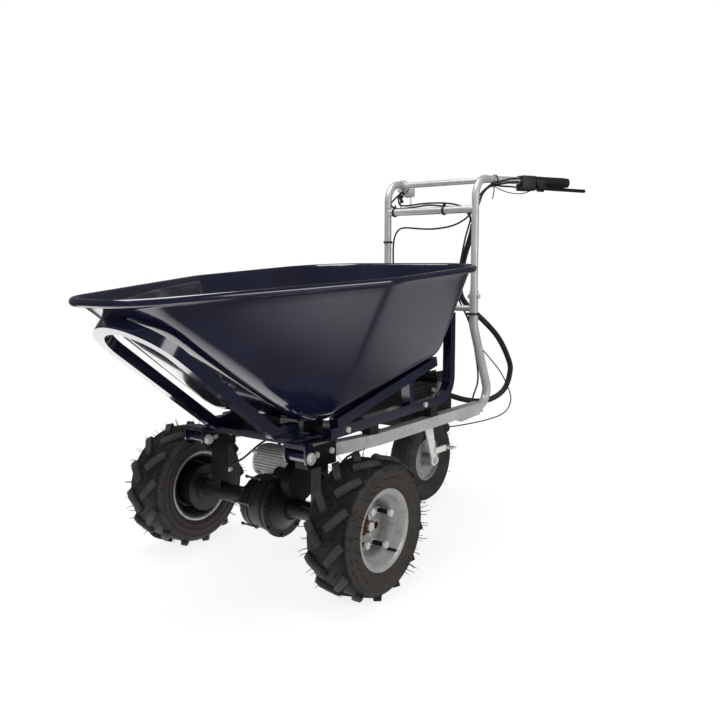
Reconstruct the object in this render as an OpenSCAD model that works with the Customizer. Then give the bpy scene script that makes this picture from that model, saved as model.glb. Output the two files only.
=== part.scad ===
// Battery-driven tipping barrow: two driven front wheels on a differential axle,
// one swivelling rear caster, and a steel tub that tips forward on two front pivots.
// Millimetres. +Z is up, the tub's lip faces -Y, the handles reach to +Y.
// Most shapes are drawn about the front axle (y = 0 below it) and then shifted.

/* [Overall] */
// Length from the tub's lip to the brake levers' tips
overall_len = 1562; // [1550:1:1580]
// Width over the front tyres
overall_w = 700; // [690:1:730]
// Height of the handle grips
overall_h = 1000; // [970:1:1030]
// Reach of the tub's lip ahead of the front axle
lip_reach = 480.5; // [474:0.5:490]

/* [Front wheels] */
// Radius over the tread lugs
tyre_r = 158; // [154:1:162]
// Width of the tyre
tyre_w = 116; // [112:1:120]
// Height of the tread lugs
lug_h = 12; // [8:1:14]
// Tread lugs along each side
lug_n = 13; // [10:1:15]
// Width of a tread lug
lug_w = 18; // [12:1:20]
// Length of a tread lug
lug_len = 60; // [50:1:64]
// Slant of the tread lugs
lug_slant = 42; // [35:1:48]
// Radius of the rim's flanges
rim_r = 90; // [87:1:93]
// Width over the rim's flanges
rim_w = 101; // [98:1:104]
// Radius of the seats that the tyre's beads sit on
seat_r = 76; // [74:1:78]
// Thickness of the rim's steel
rim_t = 3; // [2.5:0.5:3.5]
// Diameter of the wheel bolt circle
wheel_pcd = 100; // [96:1:102]
// Radius of the wheel studs
stud_r = 5; // [4:0.5:5.5]
// Distance of the rim's disc outside the wheel's middle
disc_x = -10; // [-14:1:-6]

/* [Rear caster] */
// Radius of the caster's tyre
caster_r = 132; // [126:1:136]
// Width of the caster's tyre
caster_w = 80; // [70:1:84]
// Distance of the caster's axle behind the front axle
caster_back = 680; // [672:1:690]
// Trail of the caster's axle behind its swivel axis
caster_trail = 45; // [38:1:50]
// Radius of the caster's rim
caster_rim_r = 66; // [60:1:70]
// Thickness of the fork's legs
fork_t = 5; // [4:0.5:6]

/* [Tub] */
// Height of the rolled rim's middle at the lip
lip_z = 652.5; // [645:0.5:665]
// Rise of the rim towards the back
rim_tilt = 4; // [3:0.25:5]
// Width over the tub's walls at the back
tub_w = 604; // [590:1:615]
// Width over the tub's walls at the middle
tub_mid_w = 622; // [604:1:636]
// Place of the middle width behind the axle
tub_mid_y = 100; // [80:1:120]
// Rear face of the tub's rim behind the axle
tub_back = 550; // [540:1:560]
// Plan radius of the tub's rear corners
tub_corner_r = 160; // [140:1:170]
// Plan radius of the tub's front corners
lip_corner_r = 106; // [90:1:120]
// Half the straight part of the lip
lip_flat = 20; // [18:1:30]
// Front edge of the tub's floor behind the axle
floor_front = -20; // [-24:1:-10]
// Rear edge of the tub's floor behind the axle
floor_back = 505; // [495:1:512]
// Height of the floor's front edge
floor_z0 = 360.5; // [360:0.5:366]
// Slope of the tub's floor
floor_tilt = 13.5; // [12:0.25:15]
// Width of the floor at its front
floor_front_w = 360; // [345:1:375]
// Width of the floor at its back
floor_back_w = 380; // [350:1:400]
// Rounding between floor and walls
floor_edge = 45; // [30:1:55]
// Thickness of the tub's sheet
sheet = 2; // [1.5:0.25:3]
// Radius of the rolled rim
bead_r = 9; // [7:0.5:10]

/* [Tub frame] */
// Distance of the tip pivot ahead of the front axle
pivot_fwd = 72; // [68:1:76]
// Height of the tip pivot
pivot_z = 307; // [304:1:310]
// Radius of the pivot sleeves
sleeve_r = 11; // [10:0.5:12]
// Length of the pivot sleeves
sleeve_len = 54; // [50:1:58]
// Radius of the pivot bolts
pivot_r = 6; // [5:0.5:7]
// Thickness of the pivot ears
ear_t = 4.5; // [3.5:0.5:5]
// Side of the frame's square tube
sub_d = 25; // [22:1:28]
// Distance of the frame's sides from the middle
sub_x = 165; // [163:1:168]
// Height of the lower side tube's middle at its front
sub_z0 = 342; // [340:1:346]
// Slope of the lower side tube
sub_tilt = 2; // [1.5:0.25:2.5]
// Rear upright of the side frame behind the axle
sub_back = 562; // [556:1:566]
// Height of the rear upright
sub_top = 596; // [580:1:610]
// Side of the front hoop's square tube
hoop_d = 25; // [22:1:28]
// Distance of the hoop's arms from the middle
hoop_x = 96; // [92:1:100]
// Slope of the hoop
hoop_tilt = 37; // [36:0.25:38]
// Length of the hoop along its slope
hoop_len = 455; // [448:1:460]
// Thickness of the cross plate
plate_t = 4; // [3:0.5:5]
// Top face of the cross plate
plate_z = 342; // [340:1:344]
// Depth of the cross plate behind the pivots
plate_back = 95; // [92:1:97]

/* [Chassis] */
// Side of the chassis rails
rail_d = 30; // [28:1:32]
// Distance of the rails from the middle
rail_x = 163; // [161:1:166]
// Height of the rails' middle at the front
rail_z0 = 310; // [308:1:311]
// Height of the rails' middle at their bend
rail_z1 = 298; // [296:1:300]
// Height of the rails' middle at the back
rail_z2 = 303; // [301:1:305]
// Place of the rails' bend behind the axle
rail_bend = 200; // [180:1:220]
// Rear end of the rails behind the axle
rail_back = 745; // [738:1:748]
// Thickness of the deck's cross plates
deck_t = 5; // [4:0.5:6]
// Radius of the lower posts
post_r = 13; // [12.5:0.5:14]
// Distance of the posts from the middle
post_x = 156; // [154:1:160]
// Distance of the posts behind the axle
post_back = 718; // [714:1:722]
// Top of the lower posts
post_top = 650; // [640:1:660]
// Lean of the lower posts
post_lean = 25; // [22:1:27]
// Thickness of the hangers' side plates
hanger_t = 4; // [3:0.5:4.5]

/* [Handles] */
// Radius of the handle tubes
bar_r = 11; // [10.5:0.25:11.5]
// Wall of the handle tubes
bar_wall = 1.5; // [1.5:0.25:2.5]
// Radius of the bends at the posts' tops
top_bend = 60; // [50:1:66]
// Distance of a grip's end from the middle
grip_x = 300; // [290:1:305]
// Overhang of the brake levers behind the grips
lever_over = 36; // [30:1:42]
// Radius of the grips
grip_r = 15.5; // [15:0.5:17]
// Length of the grips
grip_len = 92; // [85:1:96]
// Height of the lower handle crossbar
cross_z = 892; // [870:1:905]
// Height of the crossbar between the lower posts
tie_z = 600; // [592:1:610]
// Radius of the crossbar between the grips
brace_r = 9; // [8:0.5:10]

/* [Drive] */
// Radius of the axle tubes
tube_r = 22; // [21:0.5:24]
// Radius of the half shafts
shaft_r = 10; // [9:0.5:11]
// Radius of the differential's housing
diff_r = 64; // [63:0.5:66]
// Half length of the differential's housing
diff_half = 75; // [73:1:78]
// Radius of the motor over its fins
motor_r = 43; // [42:1:44]
// Distance of the motor behind the axle
motor_back = 60; // [58:1:62]
// Height of the motor above the axle
motor_up = 82; // [81:1:84]
// Gear module
gear_m = 2; // [1.9:0.1:2]
// Teeth of the ring gear
ring_n = 54; // [50:2:54]
// Teeth of the small intermediate gear
idler_small_n = 14; // [13:1:14]
// Teeth of the large intermediate gear
idler_large_n = 40; // [38:1:40]
// Teeth of the motor's pinion
pinion_n = 12; // [11:1:12]
// Radius of the brake drums
drum_r = 56; // [53:1:57]

/* [Clearances] */
// Radial clearance of running fits
run = 0.05; // [0.03:0.01:0.08]
// Clearance between parts that pass each other
gap = 0.5; // [0.3:0.1:0.8]
// Radial clearance of bolts in their holes
bolt_gap = 0.3; // [0.2:0.1:0.4]

/* [Hidden] */
$fn = 48;
navy = [0.06, 0.07, 0.2];
silver = [0.74, 0.75, 0.76];
black = [0.06, 0.06, 0.07];
zinc = [0.8, 0.82, 0.86];
iron = [0.17, 0.15, 0.14];
alloy = [0.62, 0.63, 0.64];
grey = [0.6, 0.61, 0.62];
bronze = [0.55, 0.42, 0.25];
rubber = [0.05, 0.05, 0.05];

axle_y = lip_reach - overall_len / 2;
axle_z = tyre_r;
track = overall_w - tyre_w;
tip_y = overall_len - lip_reach;

// Tub outline circles as [x, y, radius]
bead_c = bead_r - sheet / 2;
lip_y = bead_c + bead_r - lip_reach + lip_corner_r;
rim_circles = [
    for (s = [-1, 1])
        each [
            [s * lip_flat, lip_y, lip_corner_r],
            [s * (tub_mid_w / 2 - tub_corner_r), tub_mid_y, tub_corner_r],
            [s * (tub_w / 2 - tub_corner_r), tub_back - tub_corner_r, tub_corner_r],
        ],
];
floor_r = 65;
front_r = floor_edge + sheet + 3;
floor_circles = [
    for (s = [-1, 1])
        each [
            [s * (floor_front_w / 2 - front_r), floor_front + front_r, front_r],
            [s * (floor_back_w / 2 - floor_r), floor_back - floor_r, floor_r],
        ],
];
tub_steps = 60;
edge_share = 0.16;
function rim_z(y) = lip_z + (y + lip_reach) * tan(rim_tilt);
function floor_z(y) = floor_z0 + (y - floor_front) * tan(floor_tilt);
function unit(a) = [cos(a), sin(a)];
function support(c, a) = c[0] * cos(a) + c[1] * sin(a) + c[2];
function widest(cs, a) =
    let (far = max([for (c = cs) support(c, a)]))
    [for (c = cs) if (support(c, a) == far) c][0];
function outline_pt(cs, a, grow) =
    let (c = widest(cs, a)) [c[0], c[1]] + (c[2] + grow) * unit(a);
function rim_pt(a, grow) =
    let (p = outline_pt(rim_circles, a, grow)) [p[0], p[1], rim_z(p[1])];
function floor_pt(a, grow) =
    let (p = outline_pt(floor_circles, a, grow)) [p[0], p[1], floor_z(p[1])];
function wall_pt(a, t, skin) =
    let (low = floor_pt(a, -skin), high = rim_pt(a, -skin))
    low + t * (high - low) + [0, 0, skin * (1 - t)];
function edge_pt(a, s, skin) =
    let (inner = floor_pt(a, -skin - floor_edge) + [0, 0, skin])
    pow(1 - s, 2) * inner + 2 * s * (1 - s) * wall_pt(a, 0, skin)
        + s * s * wall_pt(a, edge_share, skin);
function bead_pt(a, w) =
    rim_pt(a, bead_c + bead_r * cos(w)) + [0, 0, bead_r * sin(w)];
turns = [for (i = [0:tub_steps - 1]) i * 360 / tub_steps];
tub_rings = [
    for (s = [0:0.25:1]) [for (a = turns) edge_pt(a, s, 0)],
    for (t = [0.45, 0.72, 0.94]) [for (a = turns) wall_pt(a, t, 0)],
    for (w = [205:36.25:495]) [for (a = turns) bead_pt(a, w)],
    for (t = [1, 0.72, 0.45]) [for (a = turns) wall_pt(a, t, sheet)],
    for (s = [1:-0.25:0]) [for (a = turns) edge_pt(a, s, sheet)],
];
// Front and rear walls of the tub in side view, on the straight middle part
lip_wall_y = lip_y - lip_corner_r;
function front_wall_z(y) =
    floor_z(floor_front)
    + (y - floor_front) / (lip_wall_y - floor_front) * (rim_z(lip_wall_y) - floor_z(floor_front));
function rear_wall_y(z) =
    floor_back
    + (z - floor_z(floor_back)) / (rim_z(tub_back) - floor_z(floor_back)) * (tub_back - floor_back);

// Tub frame in side view
pivot_y = -pivot_fwd;
ear_x0 = rail_x - sleeve_len / 2 - gap - ear_t;
ear_x1 = rail_x + sleeve_len / 2 + gap + ear_t;
ear_r = sleeve_r + 7;
sub_front = 20;
sub_bend = 60;
function sub_z(y) = sub_z0 + (y - sub_front) * tan(sub_tilt);
bend_c = [sub_back - sub_bend, sub_z(sub_back - sub_bend) + sub_bend / cos(sub_tilt)];
function strut_z(y) = floor_z(y) - sub_d / 2 / cos(floor_tilt);
strut_ends = [45, 478];
brace_y = 355;
strap_ys = [150, 430];
strap_w = 40;
side_bolt_ys = [80, 417];
side_bolt_r = 4;
hoop_corner = hoop_x - 1;
hoop_foot = -pivot_fwd + 2;
hoop_tail = 58;
// Slots in the cross plate as [distance from the middle, length between end centres]
plate_slots = [[50, 40], [108, 28]];
slot_r = 6;
function hoop_top_z(y) =
    plate_z + (hoop_foot - y) * tan(hoop_tilt) + hoop_d / 2 / cos(hoop_tilt);

// Chassis rails in side view
rail_front = -50;
rail_wall = 2.5;
function rail_z(y) =
    y < rail_bend
        ? rail_z0 + (y - rail_front) / (rail_bend - rail_front) * (rail_z1 - rail_z0)
        : rail_z1 + (y - rail_bend) / (rail_back - rail_bend) * (rail_z2 - rail_z1);
hanger_front = pivot_y + 6;
hanger_back = 32;
hanger_low = min(rail_z(hanger_back), rail_z1) - rail_d / 2 - 5;
hanger_high = rail_z0 + rail_d / 2 + 2;
hanger_bolt_ys = [-39, 14];
hanger_bolt_z = 308;
frame_bolt_r = 4;
post_d = [rail_d, 26];
post_y = -5;

// Deck plates between the rails as [front, back]
caster_y = caster_back - caster_trail;
deck_spans = [[300, 345], [420, 470], [560, 712]];
deck_z = rail_z1 - rail_d / 2 + 3;
deck_top = deck_z + deck_t;

// Lower posts in side view
foot_bend = 45;
lean_bend = 120;
lean_top = 575;
lean_low = [
    post_back + lean_bend * (1 - cos(post_lean)),
    lean_top - lean_bend * sin(post_lean),
];
foot_high_z = rail_z2 + foot_bend * (1 + sin(post_lean));
lean_len = (lean_low[1] - foot_high_z) / cos(post_lean);
foot_high = [lean_low[0] + lean_len * sin(post_lean), foot_high_z];
foot_c = [foot_high[0] - foot_bend * cos(post_lean), rail_z2 + foot_bend];
bar_in = lean_top + 4;
weld_gap = 0.2;
weld_w = 5;
weld_h = 0.3;
post_bolt_z = post_top - 14;

// Handle tubes: the bend in plan and the straight end
bar_z = overall_h - grip_r;
flare_r = 50;
flare_y = post_back + top_bend + 8;
grip_y = tip_y - lever_over;
flare_d = [grip_x - post_x - flare_r, grip_y - flare_y];
flare = atan2(flare_d[0], flare_d[1]) + asin(flare_r / norm(flare_d));
bar_start = [
    post_x + flare_r * (1 - cos(flare)),
    flare_y + flare_r * sin(flare),
];
bar_len = norm([grip_x, grip_y] - bar_start);
grip_s = bar_len - grip_len;
perch_s = [grip_s - 32, grip_s - 4];
lever_s = grip_s - 18;
lever_out = 30;
lever_tip_out = 33;
lever_roll = 42;
lever_ball = 5.5;
lever_w = 8;
tip_side = lever_tip_out * sin(lever_roll);
lever_tip_s = (tip_y - lever_ball - bar_start[1] + tip_side * sin(flare)) / cos(flare);
lever_pin_r = 3;
box_s = [grip_s - 84, grip_s - 38];
button_r = 6;
rocker_x = -17;
rocker_s = box_s[0] + 33;
rocker_pin_r = 2;
key_x = -20;
brace_y_top = flare_y + 18;

// Gears: centres about the axle as [y, z]
motor_c = [motor_back, motor_up];
mesh_ring = gear_m * (ring_n + idler_small_n) / 2;
mesh_motor = gear_m * (idler_large_n + pinion_n) / 2;
motor_dist = norm(motor_c);
idler_turn = acos(
    (pow(mesh_ring, 2) + pow(motor_dist, 2) - pow(mesh_motor, 2)) / (2 * mesh_ring * motor_dist)
);
idler_dir = atan2(motor_c[1], motor_c[0]) + idler_turn;
idler_c = mesh_ring * unit(idler_dir);
motor_dir = atan2(motor_c[1] - idler_c[1], motor_c[0] - idler_c[0]);
// Free length along a ray from the origin at angle a before the circle of radius r at c
function free_reach(c, r, a) =
    let (along = c * unit(a), off = c * c - along * along)
    along > 0 && off < r * r ? along - sqrt(r * r - off) : 1000;
ring_x = [26, 38];
carrier_hub_r = 24;
diff_flat = diff_half - 27;
diff_bolt_r = 2.5;
diff_belly = 4;
cage_r = 34;
case_x = [74, 100];
case_wall = 4;
tooth_gap = 3;
idler_shaft_r = 6;
motor_x = [-76, case_x[0]];
motor_shaft_r = 6;

// Wheel parts, measured outwards from the wheel's middle
tube_end = 70;
drum_x = [-66, -28];
hub_r = 21;
hub_flange_r = wheel_pcd / 2 + 9;
hub_flange_t = 6;
nut_len = 8;
hub_end = disc_x + rim_t + 3;
shaft_end = hub_end + 18;
stud_turn = 30;
stud_end = rim_w / 2 - 15;
plate_x = [-tube_end - 4, -tube_end];
bearing_len = 16;
bearing_r = tube_r - 4;
arm_c = [30, 32];
arm_r = 5;

// Caster heights
caster_plate_t = 5;
bearing_top = deck_z - caster_plate_t;
bearing_h = 10;
fork_top = bearing_top - bearing_h - gap;
fork_x = caster_w / 2 + 10;
kingpin_r = 8;
caster_bolt = [90, 76];
caster_axle_r = 6;

latch_x = 136;
latch_y = 532;
latch_z = 328;
latch_pin = [505, 358];
latch_pin_r = 6;
latch_open = 25;
latch_pivot_r = 4;

// Cable routes, hand-chosen points about the front axle
conduit_r = 9;
conduit_route = [
    [138, 740, 850], [130, 741, 815], [106, 742, 745], [92, 744, 655], [112, 754, 608],
    [150, 780, 566], [172, 850, 505], [182, 905, 430], [182, 915, 390], [174, 890, 335],
    [140, 838, 305], [100, 775, 312], [72, 730, 329], [70, 708, 330], [70, 690.5, 330],
];
wire_r = 3;
switch_route = [
    [220.6, 882.4, 989.8], [204, 851, 988], [189, 825, 980], [176, 808, 974], [164, 786, 964],
    [154, 766, 940], [148, 752, 905], [143, 742, 872], [141, 740, 853],
];
lamp_route = [
    [220, 882, 979], [204, 851, 977], [187, 826, 971], [171, 811, 968], [156, 790, 957], [146, 770, 932],
    [139, 758, 900], [136, 750, 872], [136, 746, 853],
];
throttle_route = [
    [-211, 893, 966], [-188, 852, 962], [-165, 813, 965], [-152, 780, 956], [-156, 752, 936],
    [-160, 740, 922],
    [-150, 735, 911], [-130, 729.5, 904], [-62, 731, 907], [-20, 733, 911], [20, 732, 908],
    [50, 729.5, 904],
    [90, 732, 900], [116, 736, 886], [129, 737, 868], [135, 736, 853],
];
left_brake_route = [
    [256, 927, 959], [230, 882, 959], [206, 850, 964], [182, 829, 964.5], [163, 816, 968], [146, 794, 956],
    [134, 774, 930], [126, 762, 900], [114, 754, 874], [64, 747, 846], [-25, 744, 838], [-105, 741, 846],
    [-130, 734, 836], [-142, 728, 800], [-142, 729, 720], [-139, 731, 640], [-138, 736, 590],
    [-136, 752, 530],
    [-134, 772, 460], [-136, 794, 380], [-137, 760, 335], [-141, 735, 300], [-141, 715, 279],
    [-141, 600, 277],
    [-141, 300, 275], [-140, 150, 270], [-143, 95, 250], [-168, 80, 224], [-197, 76, 209], [-207, 76, 202],
];
right_brake_route = [
    [-256, 927, 959], [-230, 882, 958], [-205, 846, 950], [-180, 812, 942], [-156, 778, 930],
    [-134, 752, 918],
    [-116, 746, 914], [-90, 744, 914], [-40, 745, 918], [20, 745, 917], [70, 750, 911], [104, 764, 894],
    [112, 770, 866], [100, 764, 820], [88, 757, 745], [74, 754, 655], [90, 764, 602], [118, 766, 550],
    [131, 772, 480], [136, 793, 380], [137, 760, 335], [141, 735, 300], [141, 715, 279], [141, 600, 277],
    [141, 300, 275], [140, 150, 270], [143, 95, 250], [168, 80, 224], [197, 76, 209], [207, 76, 202],
];
motor_wire_r = 5;
motor_route = [
    [-102, 640, 330], [-110, 640, 330], [-124, 625, 320], [-130, 590, 308], [-130, 500, 306],
    [-130, 300, 302],
    [-112, 180, 294], [-84, 128, 268], [-60, 106, 248],
];
horn_wire_r = 2;
horn_route = [
    [137, 718, 584], [136, 728, 562], [134, 742, 530], [142, 772, 490], [168, 810, 440], [184, 850, 395],
    [192, 892, 335], [192, 904, 298], [190, 864, 268], [176, 775, 258], [164, 640, 262], [163, 575, 268],
    [163, 557, 268],
];
button_route = [
    [233.7, 916.6, 953.8], [226, 898, 947], [213, 872, 944], [196, 844, 947], [177, 822, 957], [171.5, 817, 960.3],
];
tie_w = 4;
cross_tie_xs = [-130, 50];
bar_tie_z = 800;
post_tie_z = 584;

// Helpers
module at_axle() {
    translate([0, axle_y, 0]) children();
}

module both() {
    children();
    mirror([1, 0, 0]) children();
}

module rod_x(r, x0, x1) {
    translate([x0, 0, 0]) rotate([0, 90, 0]) cylinder(r = r, h = x1 - x0);
}

module ring_x(r, bore, x0, x1) {
    difference() {
        rod_x(r, x0, x1);
        rod_x(bore, x0 - 1, x1 + 1);
    }
}

// A prism along X whose outline is drawn in Y and Z
module side_prism(x0, x1) {
    translate([x0, 0, 0]) rotate([90, 0, 90]) linear_extrude(x1 - x0) children();
}

module strip(p, q, w) {
    d = q - p;
    translate(p) rotate(atan2(d[1], d[0])) translate([0, -w / 2]) square([norm(d), w]);
}

// A flat ring's sector from angle a0 to a1, under half a turn
module sector(r, w, a0, a1) {
    far = (r + w) / cos((a1 - a0) / 2);
    mid = (a0 + a1) / 2;
    intersection() {
        difference() {
            circle(r + w / 2);
            circle(r - w / 2);
        }
        polygon([[0, 0], far * unit(a0), 2 * far * unit(mid), far * unit(a1)]);
    }
}

module hex_x(r, x0, x1) {
    translate([x0, 0, 0]) rotate([0, 90, 0]) cylinder(r = r, h = x1 - x0, $fn = 6);
}

// A bolt along X with its head at x1 and its nut at x0
module bolt_x(r, x0, x1) {
    rod_x(r, x0 - 1.6 * r, x1);
    hex_x(1.9 * r, x1, x1 + 1.3 * r);
    difference() {
        hex_x(1.9 * r, x0 - 1.3 * r, x0);
        rod_x(r, x0 - 2 * r, x0 + 1);
    }
}

module gear_2d(n, turn) {
    pitch_r = gear_m * n / 2;
    root_r = pitch_r - 1.15 * gear_m;
    top_r = pitch_r + 0.8 * gear_m;
    step = 360 / n;
    circle(root_r);
    for (i = [0:n - 1])
        rotate(turn + i * step)
            polygon([
                (root_r - 0.3) * unit(-0.22 * step), top_r * unit(-0.09 * step),
                top_r * unit(0.09 * step), (root_r - 0.3) * unit(0.22 * step),
            ]);
}

// A gear about an X axis at c, in side view
module gear_x(n, turn, x0, x1) {
    side_prism(x0, x1) gear_2d(n, turn);
}

module wheel_at(side) {
    at_axle() translate([side * track / 2, 0, axle_z]) mirror([side < 0 ? 1 : 0, 0, 0]) children();
}

// Shapes about the X axis from an outline of [radius, x]
module turned_x() {
    rotate([0, 90, 0]) rotate_extrude() children();
}

// Local Z runs out along a handle's straight end, local -Y is up
module on_bar(side) {
    at_axle() mirror([side < 0 ? 1 : 0, 0, 0])
        translate([bar_start[0], bar_start[1], bar_z]) rotate([0, 0, -flare]) rotate([-90, 0, 0]) children();
}

module on_lever(side) {
    on_bar(side) rotate([0, 0, -lever_roll]) children();
}

// Sweeping a tube along a route
function blend4(a, b, c, d, t) =
    0.5 * (2 * b + t * (c - a) + t * t * (2 * a - 5 * b + 4 * c - d) + t * t * t * (3 * b - a - 3 * c + d));
function smooth(p, k) =
    let (n = len(p))
    [
        for (i = [0:n - 2], j = [0:k - 1])
            blend4(p[max(i - 1, 0)], p[i], p[i + 1], p[min(i + 2, n - 1)], j / k),
        p[n - 1],
    ];
function straight(v) = v / norm(v);
function heading(p, i) = straight(p[min(i + 1, len(p) - 1)] - p[max(i - 1, 0)]);
function sides_of(p, i, side) =
    i == len(p) ? []
    : let (h = heading(p, i), s = straight(side - (side * h) * h)) concat([s], sides_of(p, i + 1, s));
function first_side(h) = abs(h[2]) < 0.8 ? straight(cross(h, [0, 0, 1])) : straight(cross(h, [1, 0, 0]));
function skin_faces(rows, n) =
    [
        for (i = [0:rows - 2], j = [0:n - 1])
            each [
                [i * n + j, (i + 1) * n + j, (i + 1) * n + (j + 1) % n],
                [i * n + j, (i + 1) * n + (j + 1) % n, i * n + (j + 1) % n],
            ],
        [for (j = [0:n - 1]) j],
        [for (j = [n - 1:-1:0]) (rows - 1) * n + j],
    ];

module cable(route, r, k, n) {
    path = smooth(route, k);
    sides = sides_of(path, 0, first_side(heading(path, 0)));
    points = [
        for (i = [0:len(path) - 1], j = [0:n - 1])
            let (w = -360 * j / n, h = heading(path, i))
            path[i] + r * (cos(w) * sides[i] + sin(w) * cross(h, sides[i])),
    ];
    at_axle() polyhedron(points, skin_faces(len(path), n));
}

// Chassis
module rail_outline(h, over) {
    polygon([
        [rail_front - over, rail_z0 - h], [rail_bend, rail_z1 - h], [rail_back + over, rail_z2 - h],
        [rail_back + over, rail_z2 + h], [rail_bend, rail_z1 + h], [rail_front - over, rail_z0 + h],
    ]);
}

module bolt_holes() {
    for (y = hanger_bolt_ys)
        translate([0, y, hanger_bolt_z])
            rod_x(frame_bolt_r + bolt_gap, rail_x - rail_d, rail_x + rail_d);
}

module chassis_rails() {
    color(silver) at_axle() both() difference() {
        side_prism(rail_x - rail_d / 2, rail_x + rail_d / 2) rail_outline(rail_d / 2, 0);
        side_prism(rail_x - rail_d / 2 + rail_wall, rail_x + rail_d / 2 - rail_wall)
            rail_outline(rail_d / 2 - rail_wall, 1);
        bolt_holes();
    }
}

module deck_plates() {
    span = rail_x - rail_d / 2;
    gusset_t = 3;
    color(silver) at_axle() {
        difference() {
            for (d = deck_spans)
                translate([-span, d[0], deck_z]) cube([2 * span, d[1] - d[0], deck_t]);
            for (sx = [-1, 1], sy = [-1, 1])
                translate([sx * caster_bolt[0] / 2, caster_y + sy * caster_bolt[1] / 2, deck_z - 1])
                    cylinder(r = frame_bolt_r + bolt_gap, h = deck_t + 2);
        }
        both() side_prism(rail_x - gusset_t / 2, rail_x + gusset_t / 2)
            polygon([
                [590, rail_z(590) - rail_d / 2], [640, rail_z2 - rail_d / 2 - 16],
                [rail_back + 8, rail_z2 - rail_d / 2 - 10], [rail_back, rail_z2 - rail_d / 2],
            ]);
        translate([latch_x - 16, latch_y - 16, deck_top]) latch_bracket();
    }
}

// Stands on the rear deck's front edge beside the right rail
module latch_bracket() {
    h = latch_z - deck_top + 9;
    translate([0, 0, -deck_t]) cube([8, 32, h + deck_t]);
    translate([0, 28, -deck_t]) cube([rail_x - rail_d / 2 - latch_x + 16, 20, deck_t]);
    translate([8, 16, latch_z - deck_top]) rotate([0, 90, 0]) cylinder(r = latch_pivot_r, h = 18);
}

// A straight length of post between two bends, with a weld ring over each end
module post_run(len) {
    translate([0, 0, weld_gap]) cylinder(r = post_r, h = len - 2 * weld_gap);
    for (z = [0, len]) translate([0, 0, z - weld_w / 2]) cylinder(r = post_r + weld_h, h = weld_w);
}

module lower_posts() {
    color(silver) at_axle() {
        both() translate([post_x, 0, 0]) {
            translate([0, rail_back + weld_w / 2, rail_z2]) rotate([-90, 0, 0])
                post_run(foot_c[0] - rail_back - weld_w / 2);
            translate([0, foot_c[0], foot_c[1]]) rotate([90, 0, 90])
                rotate([0, 0, -90]) rotate_extrude(angle = 90 + post_lean)
                    translate([foot_bend, 0]) circle(post_r);
            translate([0, foot_high[0], foot_high[1]]) rotate([post_lean, 0, 0]) post_run(lean_len);
            translate([0, post_back + lean_bend, lean_top]) rotate([90, 0, 90])
                rotate([0, 0, 180]) rotate_extrude(angle = post_lean)
                    translate([lean_bend, 0]) circle(post_r);
            translate([0, post_back, 0]) difference() {
                translate([0, 0, lean_top]) post_run(post_top - lean_top);
                translate([0, 0, bar_in]) cylinder(r = bar_r + run, h = post_top);
                translate([0, 0, post_bolt_z]) rod_x(frame_bolt_r + bolt_gap, -30, 30);
            }
        }
        difference() {
            translate([0, post_back, tie_z]) rod_x(brace_r, -post_x, post_x);
            both() translate([post_x, post_back, tie_z - 20]) cylinder(r = bar_r + 1, h = 40);
        }
    }
}

module bar_ring() {
    difference() {
        circle(bar_r);
        circle(bar_r - bar_wall);
    }
}

module bar_hollow(h) {
    linear_extrude(h) bar_ring();
}

module handle_frame() {
    color(silver) at_axle() both() difference() {
        union() {
            translate([post_x, post_back, bar_in]) bar_hollow(bar_z - top_bend - bar_in);
            translate([post_x, post_back + top_bend, bar_z - top_bend]) rotate([90, 0, 90])
                rotate([0, 0, 90]) rotate_extrude(angle = 90) translate([top_bend, 0]) bar_ring();
            translate([post_x, post_back + top_bend, bar_z]) rotate([-90, 0, 0])
                bar_hollow(flare_y - post_back - top_bend);
            translate([post_x + flare_r, flare_y, bar_z]) rotate([0, 0, 180 - flare])
                rotate_extrude(angle = flare) translate([flare_r, 0]) bar_ring();
            translate([bar_start[0], bar_start[1], bar_z]) rotate([0, 0, -flare]) rotate([-90, 0, 0])
                bar_hollow(bar_len - 3);
        }
        translate([post_x, post_back, post_bolt_z]) rod_x(frame_bolt_r + bolt_gap, -30, 30);
    }
}

module handle_crossbars() {
    color(silver) at_axle() {
        difference() {
            translate([0, post_back, cross_z]) rod_x(bar_r, -post_x, post_x);
            both() translate([post_x, post_back, cross_z - 20]) cylinder(r = bar_r, h = 40);
        }
        difference() {
            translate([0, brace_y_top, bar_z - 1]) rod_x(brace_r, -post_x, post_x);
            both() translate([post_x + flare_r, flare_y, bar_z]) rotate_extrude()
                translate([flare_r, 0]) circle(bar_r);
        }
    }
}

module frame_bolts() {
    reach = rail_d / 2 + hanger_t;
    color(zinc) at_axle() {
        both() for (y = hanger_bolt_ys)
            translate([rail_x, y, hanger_bolt_z]) bolt_x(frame_bolt_r, -reach, reach);
        both() translate([post_x, post_back, post_bolt_z]) bolt_x(frame_bolt_r, -post_r, post_r);
        for (sx = [-1, 1], sy = [-1, 1])
            translate([sx * caster_bolt[0] / 2, caster_y + sy * caster_bolt[1] / 2, deck_top])
                rotate([0, -90, 0]) bolt_x(frame_bolt_r, -deck_t - caster_plate_t, 0);
        for (i = [1:7])
            translate([diff_flat, 0, axle_z]) rotate([idler_dir + 45 * i, 0, 0])
                translate([0, diff_r + 5.5, 0]) bolt_x(diff_bolt_r, -1, 5);
    }
}

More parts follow.
